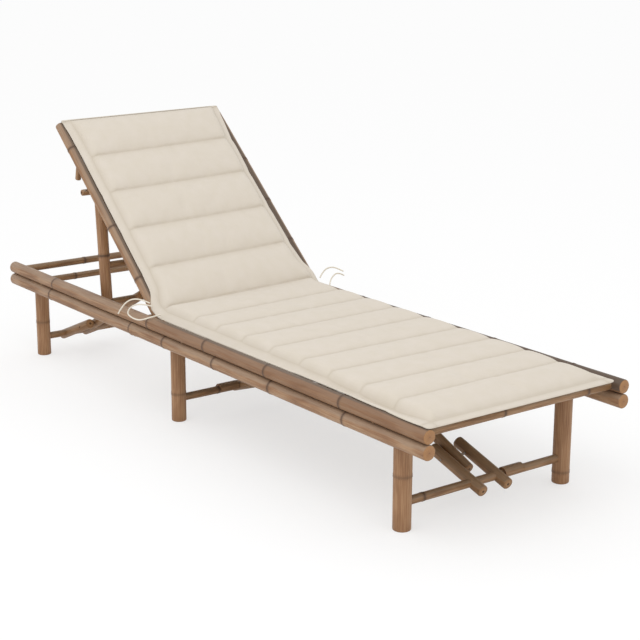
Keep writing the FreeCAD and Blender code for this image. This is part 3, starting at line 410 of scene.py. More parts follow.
def pole_stations(length, radius, rings, thick_ring=None):
    """Places along a pole and its radius there, with rounded ends and swollen rings."""
    stations = [(END_ROUNDING * 0.4, radius - END_ROUNDING * 0.3), (END_ROUNDING, radius)]
    marks = []
    for ring in rings:
        rise = THICK_RISE if ring == thick_ring else RING_RISE
        marks += [
            (ring - RING_WIDTH / 2, radius),
            (ring - RING_WIDTH / 5, radius + RING_RISE),
            (ring, radius + RING_RISE - RING_GROOVE),
            (ring + RING_WIDTH / 6, radius + rise * 0.8),
            (ring + RING_WIDTH / 2, radius + rise - RING_RISE),
        ]
        if ring == thick_ring:
            marks += [(ring + RING_WIDTH * 1.5, radius + rise * 0.6), (ring + RING_WIDTH * 3, radius)]
    plain = int(length / STATION_STEP)
    for index in range(1, plain + 1):
        place = length * index / (plain + 1)
        if all(abs(place - ring) > RING_WIDTH for ring in rings):
            marks.append((place, radius))
    stations += sorted(marks)
    stations += [(length - END_ROUNDING, radius),
                 (length - END_ROUNDING * 0.4, radius - END_ROUNDING * 0.3),
                 (length, radius - END_ROUNDING)]
    return stations


def hollow_ends(piece, length, radius, pith):
    """Sink a small pith hole into both cut ends."""
    only(piece)
    for level in (0, length):
        bpy.ops.object.mode_set(mode="EDIT")
        bpy.ops.mesh.select_all(action="DESELECT")
        bpy.ops.object.mode_set(mode="OBJECT")
        for face in piece.data.polygons:
            face.select = len(face.vertices) > 4 and abs(face.center.z - level) < END_TOLERANCE
        bpy.ops.object.mode_set(mode="EDIT")
        bpy.ops.mesh.inset(thickness=(radius - END_ROUNDING) * (1 - pith), depth=0)
        inward = PITH_DEPTH if level == 0 else -PITH_DEPTH
        bpy.ops.mesh.extrude_region_move(TRANSFORM_OT_translate={"value": (0, 0, inward)})
        bpy.ops.object.mode_set(mode="OBJECT")
    bpy.ops.object.mode_set(mode="EDIT")
    bpy.ops.mesh.select_all(action="SELECT")
    bpy.ops.mesh.normals_make_consistent(inside=False)
    bpy.ops.object.mode_set(mode="OBJECT")


def bow_and_bulge(piece, node, length, bow):
    """Bend a pole a little between its ends and make its skin uneven, each pole in its own way."""
    seed = Vector((len(node) * 3.1, sum(map(ord, node)) * 0.37, 0))
    for vertex in piece.data.vertices:
        share = vertex.co.z / length
        sway = noise.noise_vector(seed + Vector((0, 0, vertex.co.z * BOWS_PER_METRE)))
        bulge = noise.noise(seed + vertex.co * BULGES_PER_METRE)
        outward = Vector((vertex.co.x, vertex.co.y, 0))
        if outward.length > 0:
            outward.normalize()
        ends = math.sin(math.pi * share) ** 0.5 if 0 < share < 1 else 0
        vertex.co += Vector((sway.x, sway.y, 0)) * bow * ends + outward * bulge * BULGE_OF_POLE


def bamboo_pole(node, axis, radius, skin, bow=0, scar_depth=SCAR_DEPTH, cushion_shade_from=None,
                painted_brown_shade=False):
    """Pole modelled in place of a CAD node: drawn out from a disc, station by station."""
    start, finish = cad_axis(node, axis)
    length = (finish - start).length
    rings = [length * share for share in RINGS.get(node, ())]
    thick = length * THICK_RINGS[node] if node in THICK_RINGS else None
    bpy.ops.object.select_all(action="DESELECT")
    bpy.ops.mesh.primitive_circle_add(vertices=SIDES_ROUND, radius=radius - END_ROUNDING,
                                      fill_type="NGON", location=(0, 0, 0))
    piece = bpy.context.object
    piece.name = f"{node}_cane"
    bpy.ops.object.mode_set(mode="EDIT")
    bpy.ops.mesh.select_mode(type="FACE")
    bpy.ops.mesh.select_all(action="SELECT")
    place = 0
    width = radius - END_ROUNDING
    for mark, size in pole_stations(length, radius, rings, thick):
        bpy.ops.mesh.extrude_region_move(TRANSFORM_OT_translate={"value": (0, 0, mark - place)})
        bpy.ops.transform.resize(value=(size / width, size / width, 1),
                                 center_override=(0, 0, mark))
        place, width = mark, size
    bpy.ops.object.mode_set(mode="OBJECT")
    pith = OPEN_ROD_SHARE if node == "prop_rod" else PITH_SHARES[skin]
    hollow_ends(piece, length, radius, pith)
    bow_and_bulge(piece, node, length, bow)
    turn = UPRIGHT.rotation_difference(axis).to_matrix().to_4x4()
    piece.data.transform(Matrix.Translation(start) @ turn)
    only(piece)
    bpy.ops.object.shade_smooth_by_angle(angle=CANE_CREASE)
    ring_places = [ring - length / 2 for ring in rings]
    dress(piece, bamboo(f"{skin}_bamboo_{node}", skin, (start + finish) / 2, axis, ring_places,
                        radius, scar_depth, cushion_shade_from, painted_brown_shade, pith))
    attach(piece, body_holding(node))
    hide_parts(node)
    return piece


def make_poles():
    """Every straight pole of the lounger, from the rails down to the pegs."""
    for side in SIDES:
        bamboo_pole(f"upper_rail_{side}", ALONG, UPPER_RAIL_RADIUS, "rail", bow=BOW_OF_RAIL,
                    cushion_shade_from=RAIL_SHADE_START, painted_brown_shade=True)
    for side in SIDES:
        bamboo_pole(f"lower_rail_{side}", ALONG, LOWER_RAIL_RADIUS, "rail", bow=BOW_OF_RAIL)
    for node, radius in CROSS_RADII.items():
        bamboo_pole(node, ACROSS, radius * MM, "brown")
    for name, radius in LEG_RADII.items():
        for side in SIDES:
            bamboo_pole(f"{name}_leg_{side}", UPRIGHT, radius * MM, "pole",
                        scar_depth=LEG_SCAR_DEPTH)
    for name, anchor in ANCHORS.items():
        up_the_brace = heading(f"{name}_stretcher", f"{name}_knee_pins")
        for side in SIDES:
            bamboo_pole(f"{name}_brace_pole_{side}", up_the_brace, BRACE_RADIUS, "brown")
        up_the_link = heading(f"{name}_knee_pins", anchor)
        bamboo_pole(f"{name}_link", up_the_link, LINK_RADIUS, "brown")
    for side in SIDES:
        bamboo_pole(f"back_pole_{side}", UP_THE_BACK, BACK_POLE_RADIUS, "rail",
                    cushion_shade_from=SHADE_ALL_ALONG)
    up_the_prop = heading("prop_rest_bar", "prop_rod")
    for side in SIDES:
        bamboo_pole(f"prop_pole_{side}", up_the_prop, PROP_POLE_RADIUS, "pole")
    for side in SIDES:
        bamboo_pole(f"back_peg_{side}", DOWN_THE_PEG, PEG_RADIUS, "brown")


def nail_head(name, place, outward, body, look):
    """Head of a small nail, driven in until only its dome stands out."""
    bpy.ops.object.select_all(action="DESELECT")
    bpy.ops.mesh.primitive_circle_add(vertices=NAIL_SIDES, radius=NAIL_RADIUS, fill_type="NGON",
                                      location=(0, 0, 0))
    head = bpy.context.object
    head.name = name
    bpy.ops.object.mode_set(mode="EDIT")
    bpy.ops.mesh.extrude_region_move(TRANSFORM_OT_translate={"value": (0, 0, NAIL_HEIGHT)})
    for thickness, rise in NAIL_DOME:
        bpy.ops.mesh.inset(thickness=thickness, depth=rise)
    bpy.ops.mesh.select_all(action="SELECT")
    bpy.ops.mesh.normals_make_consistent(inside=False)
    bpy.ops.object.mode_set(mode="OBJECT")
    turn = UPRIGHT.rotation_difference(outward).to_matrix().to_4x4()
    head.data.transform(Matrix.Translation(place - UPRIGHT * NAIL_BELOW_MIDDLE) @ turn)
    only(head)
    bpy.ops.object.shade_smooth_by_angle(angle=NAIL_CREASE)
    dress(head, look)
    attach(head, body)


def nail_heads(look):
    """Nails that keep the prop's rod under the back, and one through each link's anchor end."""
    rod = middle_of("prop_rod")
    rod_radius = CROSS_RADII["prop_rod"] * MM
    for side, edge in (("near", -1), ("far", 1)):
        place = Vector((rod.x, edge * ROD_NAIL_Y, rod.z)) + ROD_NAIL_LEAN * rod_radius
        nail_head(f"prop_rod_nail_{side}", place, ROD_NAIL_LEAN, "backrest", look)
    for name, anchor in ANCHORS.items():
        lowest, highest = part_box(f"{name}_link")
        middle = middle_of(anchor)
        for side, edge, outward in (("near", lowest.y, -ACROSS), ("far", highest.y, ACROSS)):
            place = Vector((middle.x, edge, middle.z)) - outward * NAIL_SINK
            nail_head(f"{name}_link_nail_{side}", place, outward, f"{name}_link", look)


def pin_steel():
    """Mild steel pin, drawn and left bare outdoors: grey with brown rust spots."""
    made, tree, shader = new_material("pin_steel_rusted")
    place = add(tree, "ShaderNodeTexCoord")
    rust = add(tree, "ShaderNodeTexNoise", {"Scale": 260, "Detail": 4},
               {"Vector": place.outputs["Object"]})
    share = add(tree, "ShaderNodeValToRGB", links={"Fac": rust}, stops=((0.42, 0.0), (0.6, 1.0)))
    shade = add(tree, "ShaderNodeMix", {"data_type": "RGBA", FIRST: "#9b958c", SECOND: "#6b4a33"},
                {SHARE: share})
    rough = add(tree, "ShaderNodeValToRGB", links={"Fac": rust}, stops=((0.4, 0.35), (0.62, 0.8)))
    tree.links.new(shade.outputs[RESULT], shader.inputs["Base Color"])
    tree.links.new(rough.outputs["Color"], shader.inputs["Roughness"])
    shader.inputs["Metallic"].default_value = 0.85
    return made


def finish_kept_nodes():
    """Materials for the CAD nodes whose shape is right as it is, and the nails."""
    rung = bamboo("rung_bamboo", "brown", UPRIGHT * RUNG_LEVEL, ACROSS, radius=RUNG_RADIUS)
    keeper = bamboo("keeper_bamboo", "brown", UPRIGHT * KEEPER_LEVEL, ACROSS)
    dowel = bamboo("dowel_bamboo", "brown", UPRIGHT * DOWEL_LEVEL, UPRIGHT)
    seat = bamboo("seat_strip_bamboo", "strip", UPRIGHT * STRIP_LEVEL, ALONG)
    back = bamboo("back_strip_bamboo", "strip", middle_of("back_slats"), UP_THE_BACK)
    steel = pin_steel()
    looks = {"seat_rungs": rung, "back_rungs": rung, "rail_dowels": dowel, "seat_slats": seat,
             "back_slats": back}
    for name in ANCHORS:
        looks[f"{name}_keeper"] = keeper
        looks[f"{name}_knee_pins"] = steel
    for node, look in looks.items():
        dress(frame["nodes"][node], look)
    nail_heads(steel)


# Tie cords, as control points in millimetres: the same routes as the solids have
TIE_ROUTES = {
    "tie_near_loop": (
        (-187, -289.2, 315), (-204, -308, 321), (-235, -324, 313), (-240, -338, 292),
        (-206, -342, 286), (-168, -339, 286), (-140, -320, 299), (-142, -288.4, 300.5),
    ),
    "tie_near_strand": (
        (-196, -289.9, 322), (-212, -307, 332), (-236, -325, 331), (-254, -341, 313),
        (-260, -354, 288),
    ),
    "tie_far_loop": (
        (-187, 289, 314), (-192, 302, 328), (-184, 316, 342), (-160, 326, 346),
        (-132, 333, 338),
    ),
    "tie_far_strand": (
        (-140, 289.3, 299), (-158, 304, 303), (-168, 319, 316), (-160, 335, 330),
        (-138, 341, 323),
    ),
}
# Their diameter in metres
TIE_DIAMETER = 4 * MM


def cotton_cord():
    """Spun cotton cord, unbleached: matt and fluffy, with its lay as fine slanting ribs."""
    made, tree, shader = new_material("cotton_cord_unbleached")
    place = add(tree, "ShaderNodeTexCoord")
    # Ribs of the lay about 2 mm apart
    ribs = add(tree, "ShaderNodeTexWave", {"Scale": 160, "Distortion": 2, "Detail": 2,
                                           "bands_direction": "DIAGONAL"},
               {"Vector": place.outputs["Object"]}).outputs["Fac"]
    shade = add(tree, "ShaderNodeValToRGB", links={"Fac": ribs},
                stops=((0.0, "#cfc5b2"), (1.0, "#efe9dc")))
    bump = add(tree, "ShaderNodeBump", {"Strength": 0.6, "Distance": 0.5 * MM}, {"Height": ribs})
    tree.links.new(shade.outputs["Color"], shader.inputs["Base Color"])
    tree.links.new(bump.outputs["Normal"], shader.inputs["Normal"])
    shader.inputs["Roughness"].default_value = 0.92
    shader.inputs["Sheen Weight"].default_value = 0.3
    return made


def tie_cord(node, look):
    """One tie as a smooth cord along its control points."""
    points = [Vector(point) * MM for point in TIE_ROUTES[node]]
    line = bpy.data.curves.new(f"{node}_line", "CURVE")
    line.dimensions = "3D"
    spline = line.splines.new("NURBS")
    spline.points.add(len(points) - 1)
    for held, point in zip(spline.points, points):
        held.co = (*point, 1)
    spline.order_u = 3
    spline.use_endpoint_u = True
    spline.resolution_u = 12
    line.bevel_depth = TIE_DIAMETER / 2
    line.bevel_resolution = 4
    line.use_fill_caps = True
    cord = bpy.data.objects.new(f"{node}_cord", line)
    bpy.context.collection.objects.link(cord)
    line.materials.append(look)
    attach(cord, "bed_frame")
    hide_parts(node)
    return cord


# The cushion lies flat while it is filled: U runs from its foot end to its head end
CUSHION_HALF = 290 * MM
CUSHION_FOOT_X = 1002 * MM
CUSHION_BASE_Z = 293.9 * MM
CUSHION_END = 1884.8 * MM
CORNER_ROUND = 12 * MM
SIDE_FLANGE = 25 * MM
CUSHION_INNER = CUSHION_HALF - SIDE_FLANGE
SEAMS = [place * MM for place in (23, 156, 286, 417, 537, 667, 790, 913, 1021, 1174, 1316, 1456,
                                  1595, 1731, 1876)]

# Where it bends at the hinge
FOLD_X = -168.7 * MM
FOLD_U = CUSHION_FOOT_X - FOLD_X
FOLD_TANGENT = 26 * MM

# Heights of the flat cover, the widths over which they change, and exponents that round it off
EDGE_THICKNESS = 4 * MM
FLANGE_THICKNESS = 6 * MM
SEAM_THICKNESS = 12.5 * MM
SEAT_SEAM_THICKNESS = 18.5 * MM
CROWN_START = 24 * MM
CROWN_LIMIT = 30 * MM
FLANGE_TAPER = 8 * MM
SIDE_VALLEY = 16 * MM
END_VALLEY = 14 * MM
SIDE_RISE = 27 * MM
CHANNEL_ROUNDNESS = 0.55
SIDE_ROUNDNESS = 2.4
BACK_SAG = 0.74

# Its points: rows close together at seams and hems, columns a little closer at the flange
ROWS_PER_CHANNEL = 12
MIDDLE_COLUMNS = 44
HEM_EDGE = 3 * MM
FOOT_HEM = 9 * MM
HEM = 10 * MM
FLANGE_FOOT = 6 * MM
CROWDING = 0.35

# Filling by cloth simulation: the sewn band beside a seam, and how far a point may move
SIM_FRAMES = 20
SEWN_BAND = 1.5 * MM
SEWN_FULLNESS = 0.05
LOWER_SHEET_TOP = EDGE_THICKNESS * 0.6
LONGEST_MOVE = 7 * MM

# Gathers beside the seams and slack between them: height, and the distance over which they
# change; the flange and the lower sheet, below the smooth height, have neither
SMOOTH_HEIGHT = SEAM_THICKNESS * 0.7
GATHER_HEIGHT = 0.25 * MM
GATHER_REACH = 14 * MM
SLACK_HEIGHT = 0.8 * MM
SLACK_REACH = 30 * MM
SEAM_SHADE_REACH = 20 * MM

# The cover is drawn in further at the end of each seam
SEAM_DRAW = 1.8 * MM
SEAM_DRAW_REACH = 13 * MM

# The two poles of the back and the upper rails that the cushion's rim hangs down to:
# distance from the middle, radius, and height of the middle line below the cushion's base
BACK_POLE_LINE = (271.5 * MM, 14.9 * MM, 16.4 * MM)
RAIL_LINE = (305.5 * MM, 18 * MM, 18.9 * MM)
BACK_STRIPS_END = 252 * MM
SEAT_STRIPS_END = 270 * MM
RIM_CLEARANCE = 0.4 * MM
RIM_DROP = 10 * MM
RIM_SLOPE = 13 * MM
BACK_RIM_BLEND = 30 * MM

# At the foot the rim stays level, and at the head it reaches over the ends of the strips
FOOT_LEVEL = 40 * MM
FOOT_BLEND = 90 * MM
HEAD_RIM = 8 * MM
HEAD_REACH = 5 * MM
HEAD_DROP = 7 * MM

# How the sewn cushion really lies, in millimetres: places along it, its near and far edges, and
# how much further along the far end of each seam stands
CUSHION_LIE = (
    (0, -313, 272, 0), (57, -312, 271, 0), (190, -307, 281, 0), (316, -302, 287, -12),
    (450, -296, 289, -12), (580, -292, 290, -6), (720, -291, 291, 8), (856, -289, 291, 6),
    (1021, -288, 290, 26), (1110, -287, 288, 30), (1170, -287, 287, 24), (1200, -288, 285, 20),
    (1222, -277, 271, 20), (1245, -269, 264, 20), (1300, -267, 261, 20), (1400, -266, 260, 20),
    (1545, -265, 260, 20), (1740, -265, 264, 20), (1830, -267, 270, 14), (1868, -272, 276, 8),
    (1884.8, -277, 279, 6),
)


def clamped(value):
    """A share kept between 0 and 1."""
    return min(1, max(0, value))


def cushion_rows():
    """Places along the cushion of its rows of points, close together beside each seam."""
    rows = [0, HEM_EDGE, FOOT_HEM]
    for left, right in zip(SEAMS, SEAMS[1:]):
        for index in range(ROWS_PER_CHANNEL):
            share = (1 - math.cos(math.pi * index / ROWS_PER_CHANNEL)) / 2
            rows.append(left + (right - left) * share)
    # At the head end the cover doubles back on itself for a hem's width
    rows += [SEAMS[-1], SEAMS[-1] + HEM, CUSHION_END - HEM, CUSHION_END - HEM_EDGE, CUSHION_END]
    return rows


def cushion_columns():
    """Places across the cushion of its columns of points, closer together beside the flange."""
    rim = [CUSHION_HALF, CUSHION_HALF - HEM_EDGE, CUSHION_HALF - HEM, CUSHION_INNER + FLANGE_FOOT]
    middle = []
    for index in range(MIDDLE_COLUMNS + 1):
        share = (1 - math.cos(math.pi * index / MIDDLE_COLUMNS)) / 2
        even = index / MIDDLE_COLUMNS
        place = CROWDING * share + (1 - CROWDING) * even
        middle.append(-CUSHION_INNER + 2 * CUSHION_INNER * place)
    return [-place for place in rim] + middle + rim[::-1]


def fullness(u, y):
    """Fullness of the filling at a point, from 0 at seams and flange to 1 mid-channel."""
    if u <= SEAMS[0] or u >= SEAMS[-1] or abs(y) >= CUSHION_INNER:
        return 0
    left = max(seam for seam in SEAMS if seam <= u)
    right = min(seam for seam in SEAMS if seam > u)
    part = (u - left) / (right - left)
    if u > FOLD_U:
        part = part ** BACK_SAG
    share = math.sin(math.pi * part) ** CHANNEL_ROUNDNESS
    side = min(1, (CUSHION_INNER - abs(y)) / SIDE_RISE)
    return share * (1 - (1 - side) ** SIDE_ROUNDNESS)


def seam_distance(u, y):
    """Distance from the nearest stitched line."""
    to_side = abs(abs(y) - CUSHION_INNER)
    if abs(y) > CUSHION_INNER or u < SEAMS[0] or u > SEAMS[-1]:
        return min(to_side, abs(u - SEAMS[0]), abs(u - SEAMS[-1]))
    return min([to_side] + [abs(u - seam) for seam in SEAMS])


def top_height(u, y):
    """Height of the cover over its base before it is filled."""
    if abs(y) >= CUSHION_INNER or u <= SEAMS[0] or u >= SEAMS[-1]:
        edge = min(CUSHION_HALF - abs(y), u, CUSHION_END - u)
        return EDGE_THICKNESS + (FLANGE_THICKNESS - EDGE_THICKNESS) * min(1, edge / FLANGE_TAPER)
    side = min(1, (CUSHION_INNER - abs(y)) / SIDE_VALLEY, (u - SEAMS[0]) / END_VALLEY,
               (SEAMS[-1] - u) / END_VALLEY)
    seam = SEAM_THICKNESS if u > FOLD_U else SEAT_SEAM_THICKNESS
    valley = FLANGE_THICKNESS + (seam - FLANGE_THICKNESS) * side
    return valley + (CROWN_START - seam) * fullness(u, y)


def rounded_in(u, y):
    """Move a point of the outline in where the cushion's corners are rounded."""
    from_end = min(u, CUSHION_END - u)
    from_side = CUSHION_HALF - abs(y)
    if from_end >= CORNER_ROUND or from_side >= CORNER_ROUND:
        return u, y
    across = CORNER_ROUND - from_side
    along = CORNER_ROUND - from_end
    reach = math.hypot(across, along)
    if reach <= 0:
        return u, y
    shrink = max(across, along) / reach
    new_side = CORNER_ROUND - across * shrink
    new_end = CORNER_ROUND - along * shrink
    return (new_end if u < CUSHION_END / 2 else CUSHION_END - new_end,
            math.copysign(CUSHION_HALF - new_side, y))


def lay_out_cushion():
    """Flat cover of the cushion: an upper and a lower sheet, joined around the rim."""
    rows = cushion_rows()
    columns = cushion_columns()
    bpy.ops.object.select_all(action="DESELECT")
    bpy.ops.mesh.primitive_grid_add(x_subdivisions=len(columns) - 1, y_subdivisions=len(rows) - 1,
                                    size=2, location=(0, 0, 0))
    cover = bpy.context.object
    cover.name = "quilted_cushion"
    across_step = 2 / (len(columns) - 1)
    along_step = 2 / (len(rows) - 1)
    for vertex in cover.data.vertices:
        column = round((vertex.co.x + 1) / across_step)
        row = round((vertex.co.y + 1) / along_step)
        u, y = rounded_in(rows[row], columns[column])
        vertex.co = (u, y, 0)
    bpy.ops.object.mode_set(mode="EDIT")
    bpy.ops.mesh.select_all(action="SELECT")
    bpy.ops.mesh.extrude_region_move(TRANSFORM_OT_translate={"value": (0, 0, EDGE_THICKNESS)})
    bpy.ops.object.mode_set(mode="OBJECT")
    for vertex in cover.data.vertices:
        if vertex.co.z > EDGE_THICKNESS / 2:
            vertex.co.z = top_height(vertex.co.x, vertex.co.y)
    bpy.ops.object.mode_set(mode="EDIT")
    bpy.ops.mesh.select_all(action="SELECT")
    bpy.ops.mesh.normals_make_consistent(inside=False)
    bpy.ops.object.mode_set(mode="OBJECT")
    return cover


def fill_cushion(cover):
    """Blow the channels up as cloth between their seams, then stop each point at its limit."""
    sewn = cover.vertex_groups.new(name="sewn")
    for vertex in cover.data.vertices:
        u, y, z = vertex.co
        held = z < LOWER_SHEET_TOP or fullness(u, y) < SEWN_FULLNESS
        if held or seam_distance(u, y) < SEWN_BAND:
            sewn.add([vertex.index], 1.0, "REPLACE")
    before = [vertex.co.copy() for vertex in cover.data.vertices]
    only(cover)
    cloth = cover.modifiers.new("Filling", "CLOTH")
    cloth.settings.quality = 6
    cloth.settings.mass = 0.25
    cloth.settings.tension_stiffness = 12
    cloth.settings.compression_stiffness = 12
    cloth.settings.shear_stiffness = 6
    cloth.settings.bending_stiffness = 2.5
    cloth.settings.shrink_min = -0.006
    cloth.settings.use_pressure = True
    cloth.settings.uniform_pressure_force = 4
    cloth.settings.effector_weights.gravity = 0
    cloth.settings.vertex_group_mass = "sewn"
    cloth.point_cache.frame_start = 1
    cloth.point_cache.frame_end = SIM_FRAMES
    for step in range(1, SIM_FRAMES + 1):
        bpy.context.scene.frame_set(step)
    bpy.ops.object.modifier_apply(modifier=cloth.name)
    bpy.context.scene.frame_set(1)
    for vertex, start in zip(cover.data.vertices, before):
        moved = vertex.co - start
        if moved.length > LONGEST_MOVE:
            moved *= LONGEST_MOVE / moved.length
        vertex.co = start + moved
        vertex.co.z = min(max(vertex.co.z, 0), CROWN_LIMIT)
    cover.vertex_groups.clear()


def pucker(cover):
    """Small gathers beside each stitched line, and slack in the cover between the lines."""
    for vertex in cover.data.vertices:
        u, y, z = vertex.co
        if z < SMOOTH_HEIGHT:
            continue
        gap = seam_distance(u, y)
        # Gathers stand a few centimetres apart along a seam, the slack a few decimetres
        gather = noise.noise(Vector((u * 7, y * 40, 3.7))) * GATHER_HEIGHT
        slack = noise.noise(Vector((u * 6, y * 4, 9.1))) * SLACK_HEIGHT
        vertex.co.z += gather * math.exp(-gap / GATHER_REACH) + slack * min(1, gap / SLACK_REACH)


def lie_at(u):
    """Near edge, far edge and seam slant of the cushion as it lies, at a place along it."""
    for before, after in zip(CUSHION_LIE, CUSHION_LIE[1:]):
        if u <= after[0] * MM:
            break
    share = clamped((u / MM - before[0]) / (after[0] - before[0]))
    ease = share * share * (3 - 2 * share)
    return [(first + (second - first) * ease) * MM for first, second in zip(before[1:], after[1:])]


def rim_drop(y, pole, strips_end):
    """How far the rim hangs below the cushion's base where no strip carries it any more."""
    middle, radius, below = pole
    chord = radius ** 2 - (abs(y) - middle) ** 2
    rest = below - math.sqrt(chord) - RIM_CLEARANCE if chord > 0 else RIM_DROP
    share = clamped((abs(y) - strips_end) / RIM_SLOPE)
    return min(RIM_DROP, max(0, rest)) * math.sin(share * math.pi / 2)


def settle_cushion(cover):
    """Draw the cushion in to its real edges, and let its rim hang down to the poles beside it."""
    for vertex in cover.data.vertices:
        u, y, height = vertex.co
        near, far, slant = lie_at(u)
        share = (y + CUSHION_HALF) / (2 * CUSHION_HALF)
        gap = min(abs(u - seam) for seam in SEAMS)
        draw = SEAM_DRAW * math.exp(-(gap / SEAM_DRAW_REACH) ** 2)
        y = near + draw + (far - near - 2 * draw) * share
        on_back = clamped((u - FOLD_U) / BACK_RIM_BLEND)
        drop = rim_drop(y, RAIL_LINE, SEAT_STRIPS_END) * (1 - on_back)
        drop += rim_drop(y, BACK_POLE_LINE, BACK_STRIPS_END) * on_back
        head = max(0, (u - CUSHION_END + HEAD_RIM) / HEAD_RIM)
        u += HEAD_REACH * head
        drop *= clamped((u - FOOT_LEVEL) / FOOT_BLEND)
        drop = max(drop, HEAD_DROP * head * head)
        vertex.co = (u + slant * share, y, height - drop)


def fold_cushion(cover):
    """Lay the flat cushion on the seat and up the back, with a soft bend at the hinge."""
    radius = FOLD_TANGENT / math.tan(BACK_ANGLE / 2)
    arc = radius * BACK_ANGLE
    bend_start = FOLD_U - FOLD_TANGENT
    corner = Vector((FOLD_X, 0, CUSHION_BASE_Z))
    arc_start = corner + ALONG * FOLD_TANGENT
    arc_end = corner + UP_THE_BACK * FOLD_TANGENT
    out = Vector((math.sin(BACK_ANGLE), 0, math.cos(BACK_ANGLE)))
    spare = 2 * FOLD_TANGENT - arc
    stretch = 1 + spare / (CUSHION_END - bend_start - arc)
    for vertex in cover.data.vertices:
        u, y, height = vertex.co
        if u <= bend_start:
            place = Vector((CUSHION_FOOT_X - u, 0, CUSHION_BASE_Z))
            normal = UPRIGHT
        elif u < bend_start + arc:
            angle = (u - bend_start) / radius
            normal = Vector((math.sin(angle), 0, math.cos(angle)))
            place = arc_start + UPRIGHT * radius - normal * radius
        else:
            place = arc_end + UP_THE_BACK * (u - bend_start - arc) * stretch
            normal = out
        vertex.co = place + normal * height + ACROSS * y


def canvas():
    """Polyester canvas, plain woven and dyed sand: matt, with faint slubs and stitched lines."""
    made, tree, shader = new_material("sand_canvas_woven")
    place = add(tree, "ShaderNodeUVMap", {"uv_map": "cover"})
    # Threads drawn 2 mm apart: the real ones, at half a millimetre, would not show
    threads = []
    for direction in ("X", "Y"):
        threads.append(add(tree, "ShaderNodeTexWave", {
            "Scale": 150, "bands_direction": direction, "Distortion": 0.6, "Detail": 1},
            {"Vector": place}).outputs["Fac"])
    weave = add(tree, "ShaderNodeMath", {"operation": "MULTIPLY"}, {0: threads[0], 1: threads[1]})
    slubs = add(tree, "ShaderNodeTexNoise", {"Scale": 26, "Detail": 3}, {"Vector": place})
    base = add(tree, "ShaderNodeValToRGB", links={"Fac": slubs},
               stops=((0.3, "#d1c8ba"), (0.7, "#d4cbbf")))
    faint = add(tree, "ShaderNodeMath", {"operation": "MULTIPLY", 1: 0.25}, {0: weave})
    woven = add(tree, "ShaderNodeMix", {"data_type": "RGBA", SECOND: "#cfc5b4"},
                {SHARE: faint, FIRST: base})
    # Painted shade darkens the stitched lines
    seam = add(tree, "ShaderNodeAttribute", {"attribute_name": "seam_gap"})
    line = add(tree, "ShaderNodeValToRGB", links={"Fac": seam.outputs["Fac"]},
               stops=((0.0, 1.0), (0.1, 0.6), (0.4, 0.2), (1.0, 0.0)))
    painted_shade = add(tree, "ShaderNodeMath", {"operation": "MULTIPLY", 1: 0.34}, {0: line})
    shade = add(tree, "ShaderNodeMix", {"data_type": "RGBA", SECOND: "#a3967f"},
                {SHARE: painted_shade, FIRST: woven.outputs[RESULT]})
    bump = add(tree, "ShaderNodeBump", {"Strength": 0.18, "Distance": 0.3 * MM}, {"Height": weave})
    tree.links.new(shade.outputs[RESULT], shader.inputs["Base Color"])
    tree.links.new(bump.outputs["Normal"], shader.inputs["Normal"])
    shader.inputs["Roughness"].default_value = 0.9
    shader.inputs["Sheen Weight"].default_value = 0.12
    shader.inputs["Specular IOR Level"].default_value = 0.25
    return made


def make_cushion():
    """The quilted cushion, one piece from the foot to the head."""
    cover = lay_out_cushion()
    fill_cushion(cover)
    pucker(cover)
    gaps = cover.data.attributes.new("seam_gap", "FLOAT", "POINT")
    for vertex, value in zip(cover.data.vertices, gaps.data):
        value.value = min(1, seam_distance(vertex.co.x, vertex.co.y) / SEAM_SHADE_REACH)
    weave = cover.data.uv_layers.new(name="cover")
    for loop in cover.data.loops:
        spot = cover.data.vertices[loop.vertex_index].co
        weave.data[loop.index].uv = (spot.x, spot.y)
    settle_cushion(cover)
    fold_cushion(cover)
    only(cover)
    smoother = cover.modifiers.new("Smooth", "SUBSURF")
    smoother.levels = 1
    smoother.render_levels = 1
    bpy.ops.object.modifier_apply(modifier=smoother.name)
    bpy.ops.object.shade_smooth()
    dress(cover, canvas())
    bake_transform(cover)
    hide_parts("cushion_seat", "cushion_back")
    return cover


def seen_rays(tree):
    """1 for rays that show a surface to the camera, straight, mirrored or through glass, else 0."""
    path = add(tree, "ShaderNodeLightPath")
    seen = add(tree, "ShaderNodeMath", {"operation": "MAXIMUM"},
               {0: path.outputs["Is Camera Ray"], 1: path.outputs["Is Glossy Ray"]})
    return add(tree, "ShaderNodeMath", {"operation": "MAXIMUM"},
               {0: seen, 1: path.outputs["Is Transmission Ray"]})


def pale_floor():
    """Wide pale floor that keeps a soft shadow and runs out to white."""
    bpy.ops.object.select_all(action="DESELECT")
    bpy.ops.mesh.primitive_plane_add(size=FLOOR_SIZE, location=(0, 0, 0))
    floor = bpy.context.object
    floor.name = "floor"
    made, tree, shader = new_material("floor_pale")
    shader.inputs["Base Color"].default_value = colour("#f9f9f9")
    shader.inputs["Roughness"].default_value = 0.95
    shader.inputs["Specular IOR Level"].default_value = 0
    share = add(tree, "ShaderNodeMath", {"operation": "MULTIPLY", 1: FLOOR_WHITENESS},
                {0: seen_rays(tree)})
    white = add(tree, "ShaderNodeEmission", {"Color": "#ffffff", "Strength": 1.0})
    chosen = add(tree, "ShaderNodeMixShader", links={0: share, 1: shader, 2: white})
    tree.links.new(chosen.outputs[0], tree.nodes["Material Output"].inputs["Surface"])
    dress(floor, made)


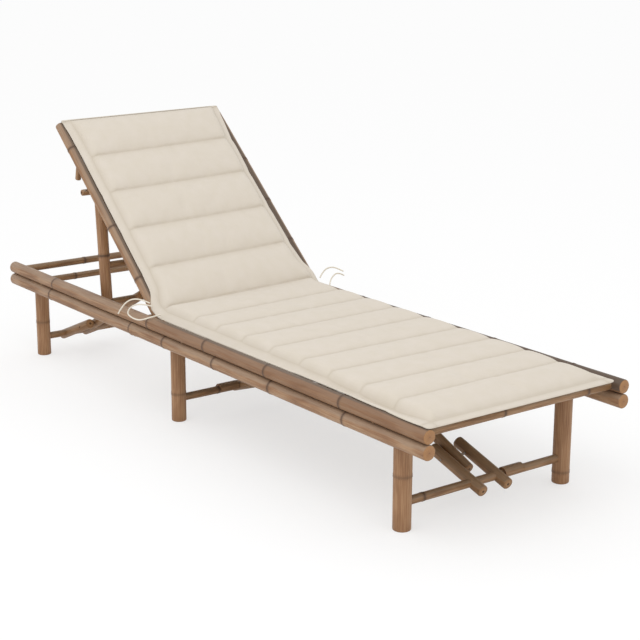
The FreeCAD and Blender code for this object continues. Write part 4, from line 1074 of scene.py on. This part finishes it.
def studio_light():
    """Even light from all round, and one large soft lamp from above the near side."""
    world = bpy.data.worlds.new("studio")
    bpy.context.scene.world = world
    world.use_nodes = True
    tree = world.node_tree
    tree.nodes.clear()
    even = add(tree, "ShaderNodeBackground", {"Color": "#ffffff", "Strength": 0.98})
    white = add(tree, "ShaderNodeBackground", {"Color": "#ffffff", "Strength": 1.0})
    chosen = add(tree, "ShaderNodeMixShader", links={0: seen_rays(tree), 1: even, 2: white})
    add(tree, "ShaderNodeOutputWorld", links={"Surface": chosen})
    lamp = bpy.data.lights.new("soft_lamp", "AREA")
    lamp.shape = "DISK"
    lamp.size = LAMP_SIZE
    lamp.energy = LAMP_WATTS
    stand = bpy.data.objects.new("soft_lamp", lamp)
    bpy.context.collection.objects.link(stand)
    stand.location = LAMP_PLACE
    stand.rotation_euler = (Vector(LAMP_AIM) - stand.location).to_track_quat("-Z", "Y").to_euler()
    bpy.context.scene.view_settings.view_transform = "Standard"


def photo_camera():
    """Camera where the photograph was taken from."""
    lens = bpy.data.cameras.new("photo_camera")
    lens.sensor_width = SENSOR
    lens.lens = LENS
    lens.shift_x = SHIFT_X
    lens.shift_y = SHIFT_Y
    camera = bpy.data.objects.new("photo_camera", lens)
    bpy.context.collection.objects.link(camera)
    turn = math.radians(CAMERA_AZIMUTH)
    tilt = math.radians(CAMERA_TILT)
    ahead = Vector((-math.sin(turn) * math.cos(tilt), math.cos(turn) * math.cos(tilt),
                    -math.sin(tilt)))
    level = ahead.to_track_quat("-Z", "Y").to_matrix()
    roll = Matrix.Rotation(math.radians(CAMERA_ROLL), 3, "Z")
    camera.matrix_world = Matrix.Translation(CAMERA_PLACE) @ (level @ roll).to_4x4()
    bpy.context.scene.camera = camera


# With a fixed seed the rails bow the same way in every run
noise.seed_set(BOW_SEED)

photo_camera()
pale_floor()
studio_light()
cord_look = cotton_cord()
for tie_name in TIE_ROUTES:
    tie_cord(tie_name, cord_look)
make_poles()
finish_kept_nodes()
make_cushion()
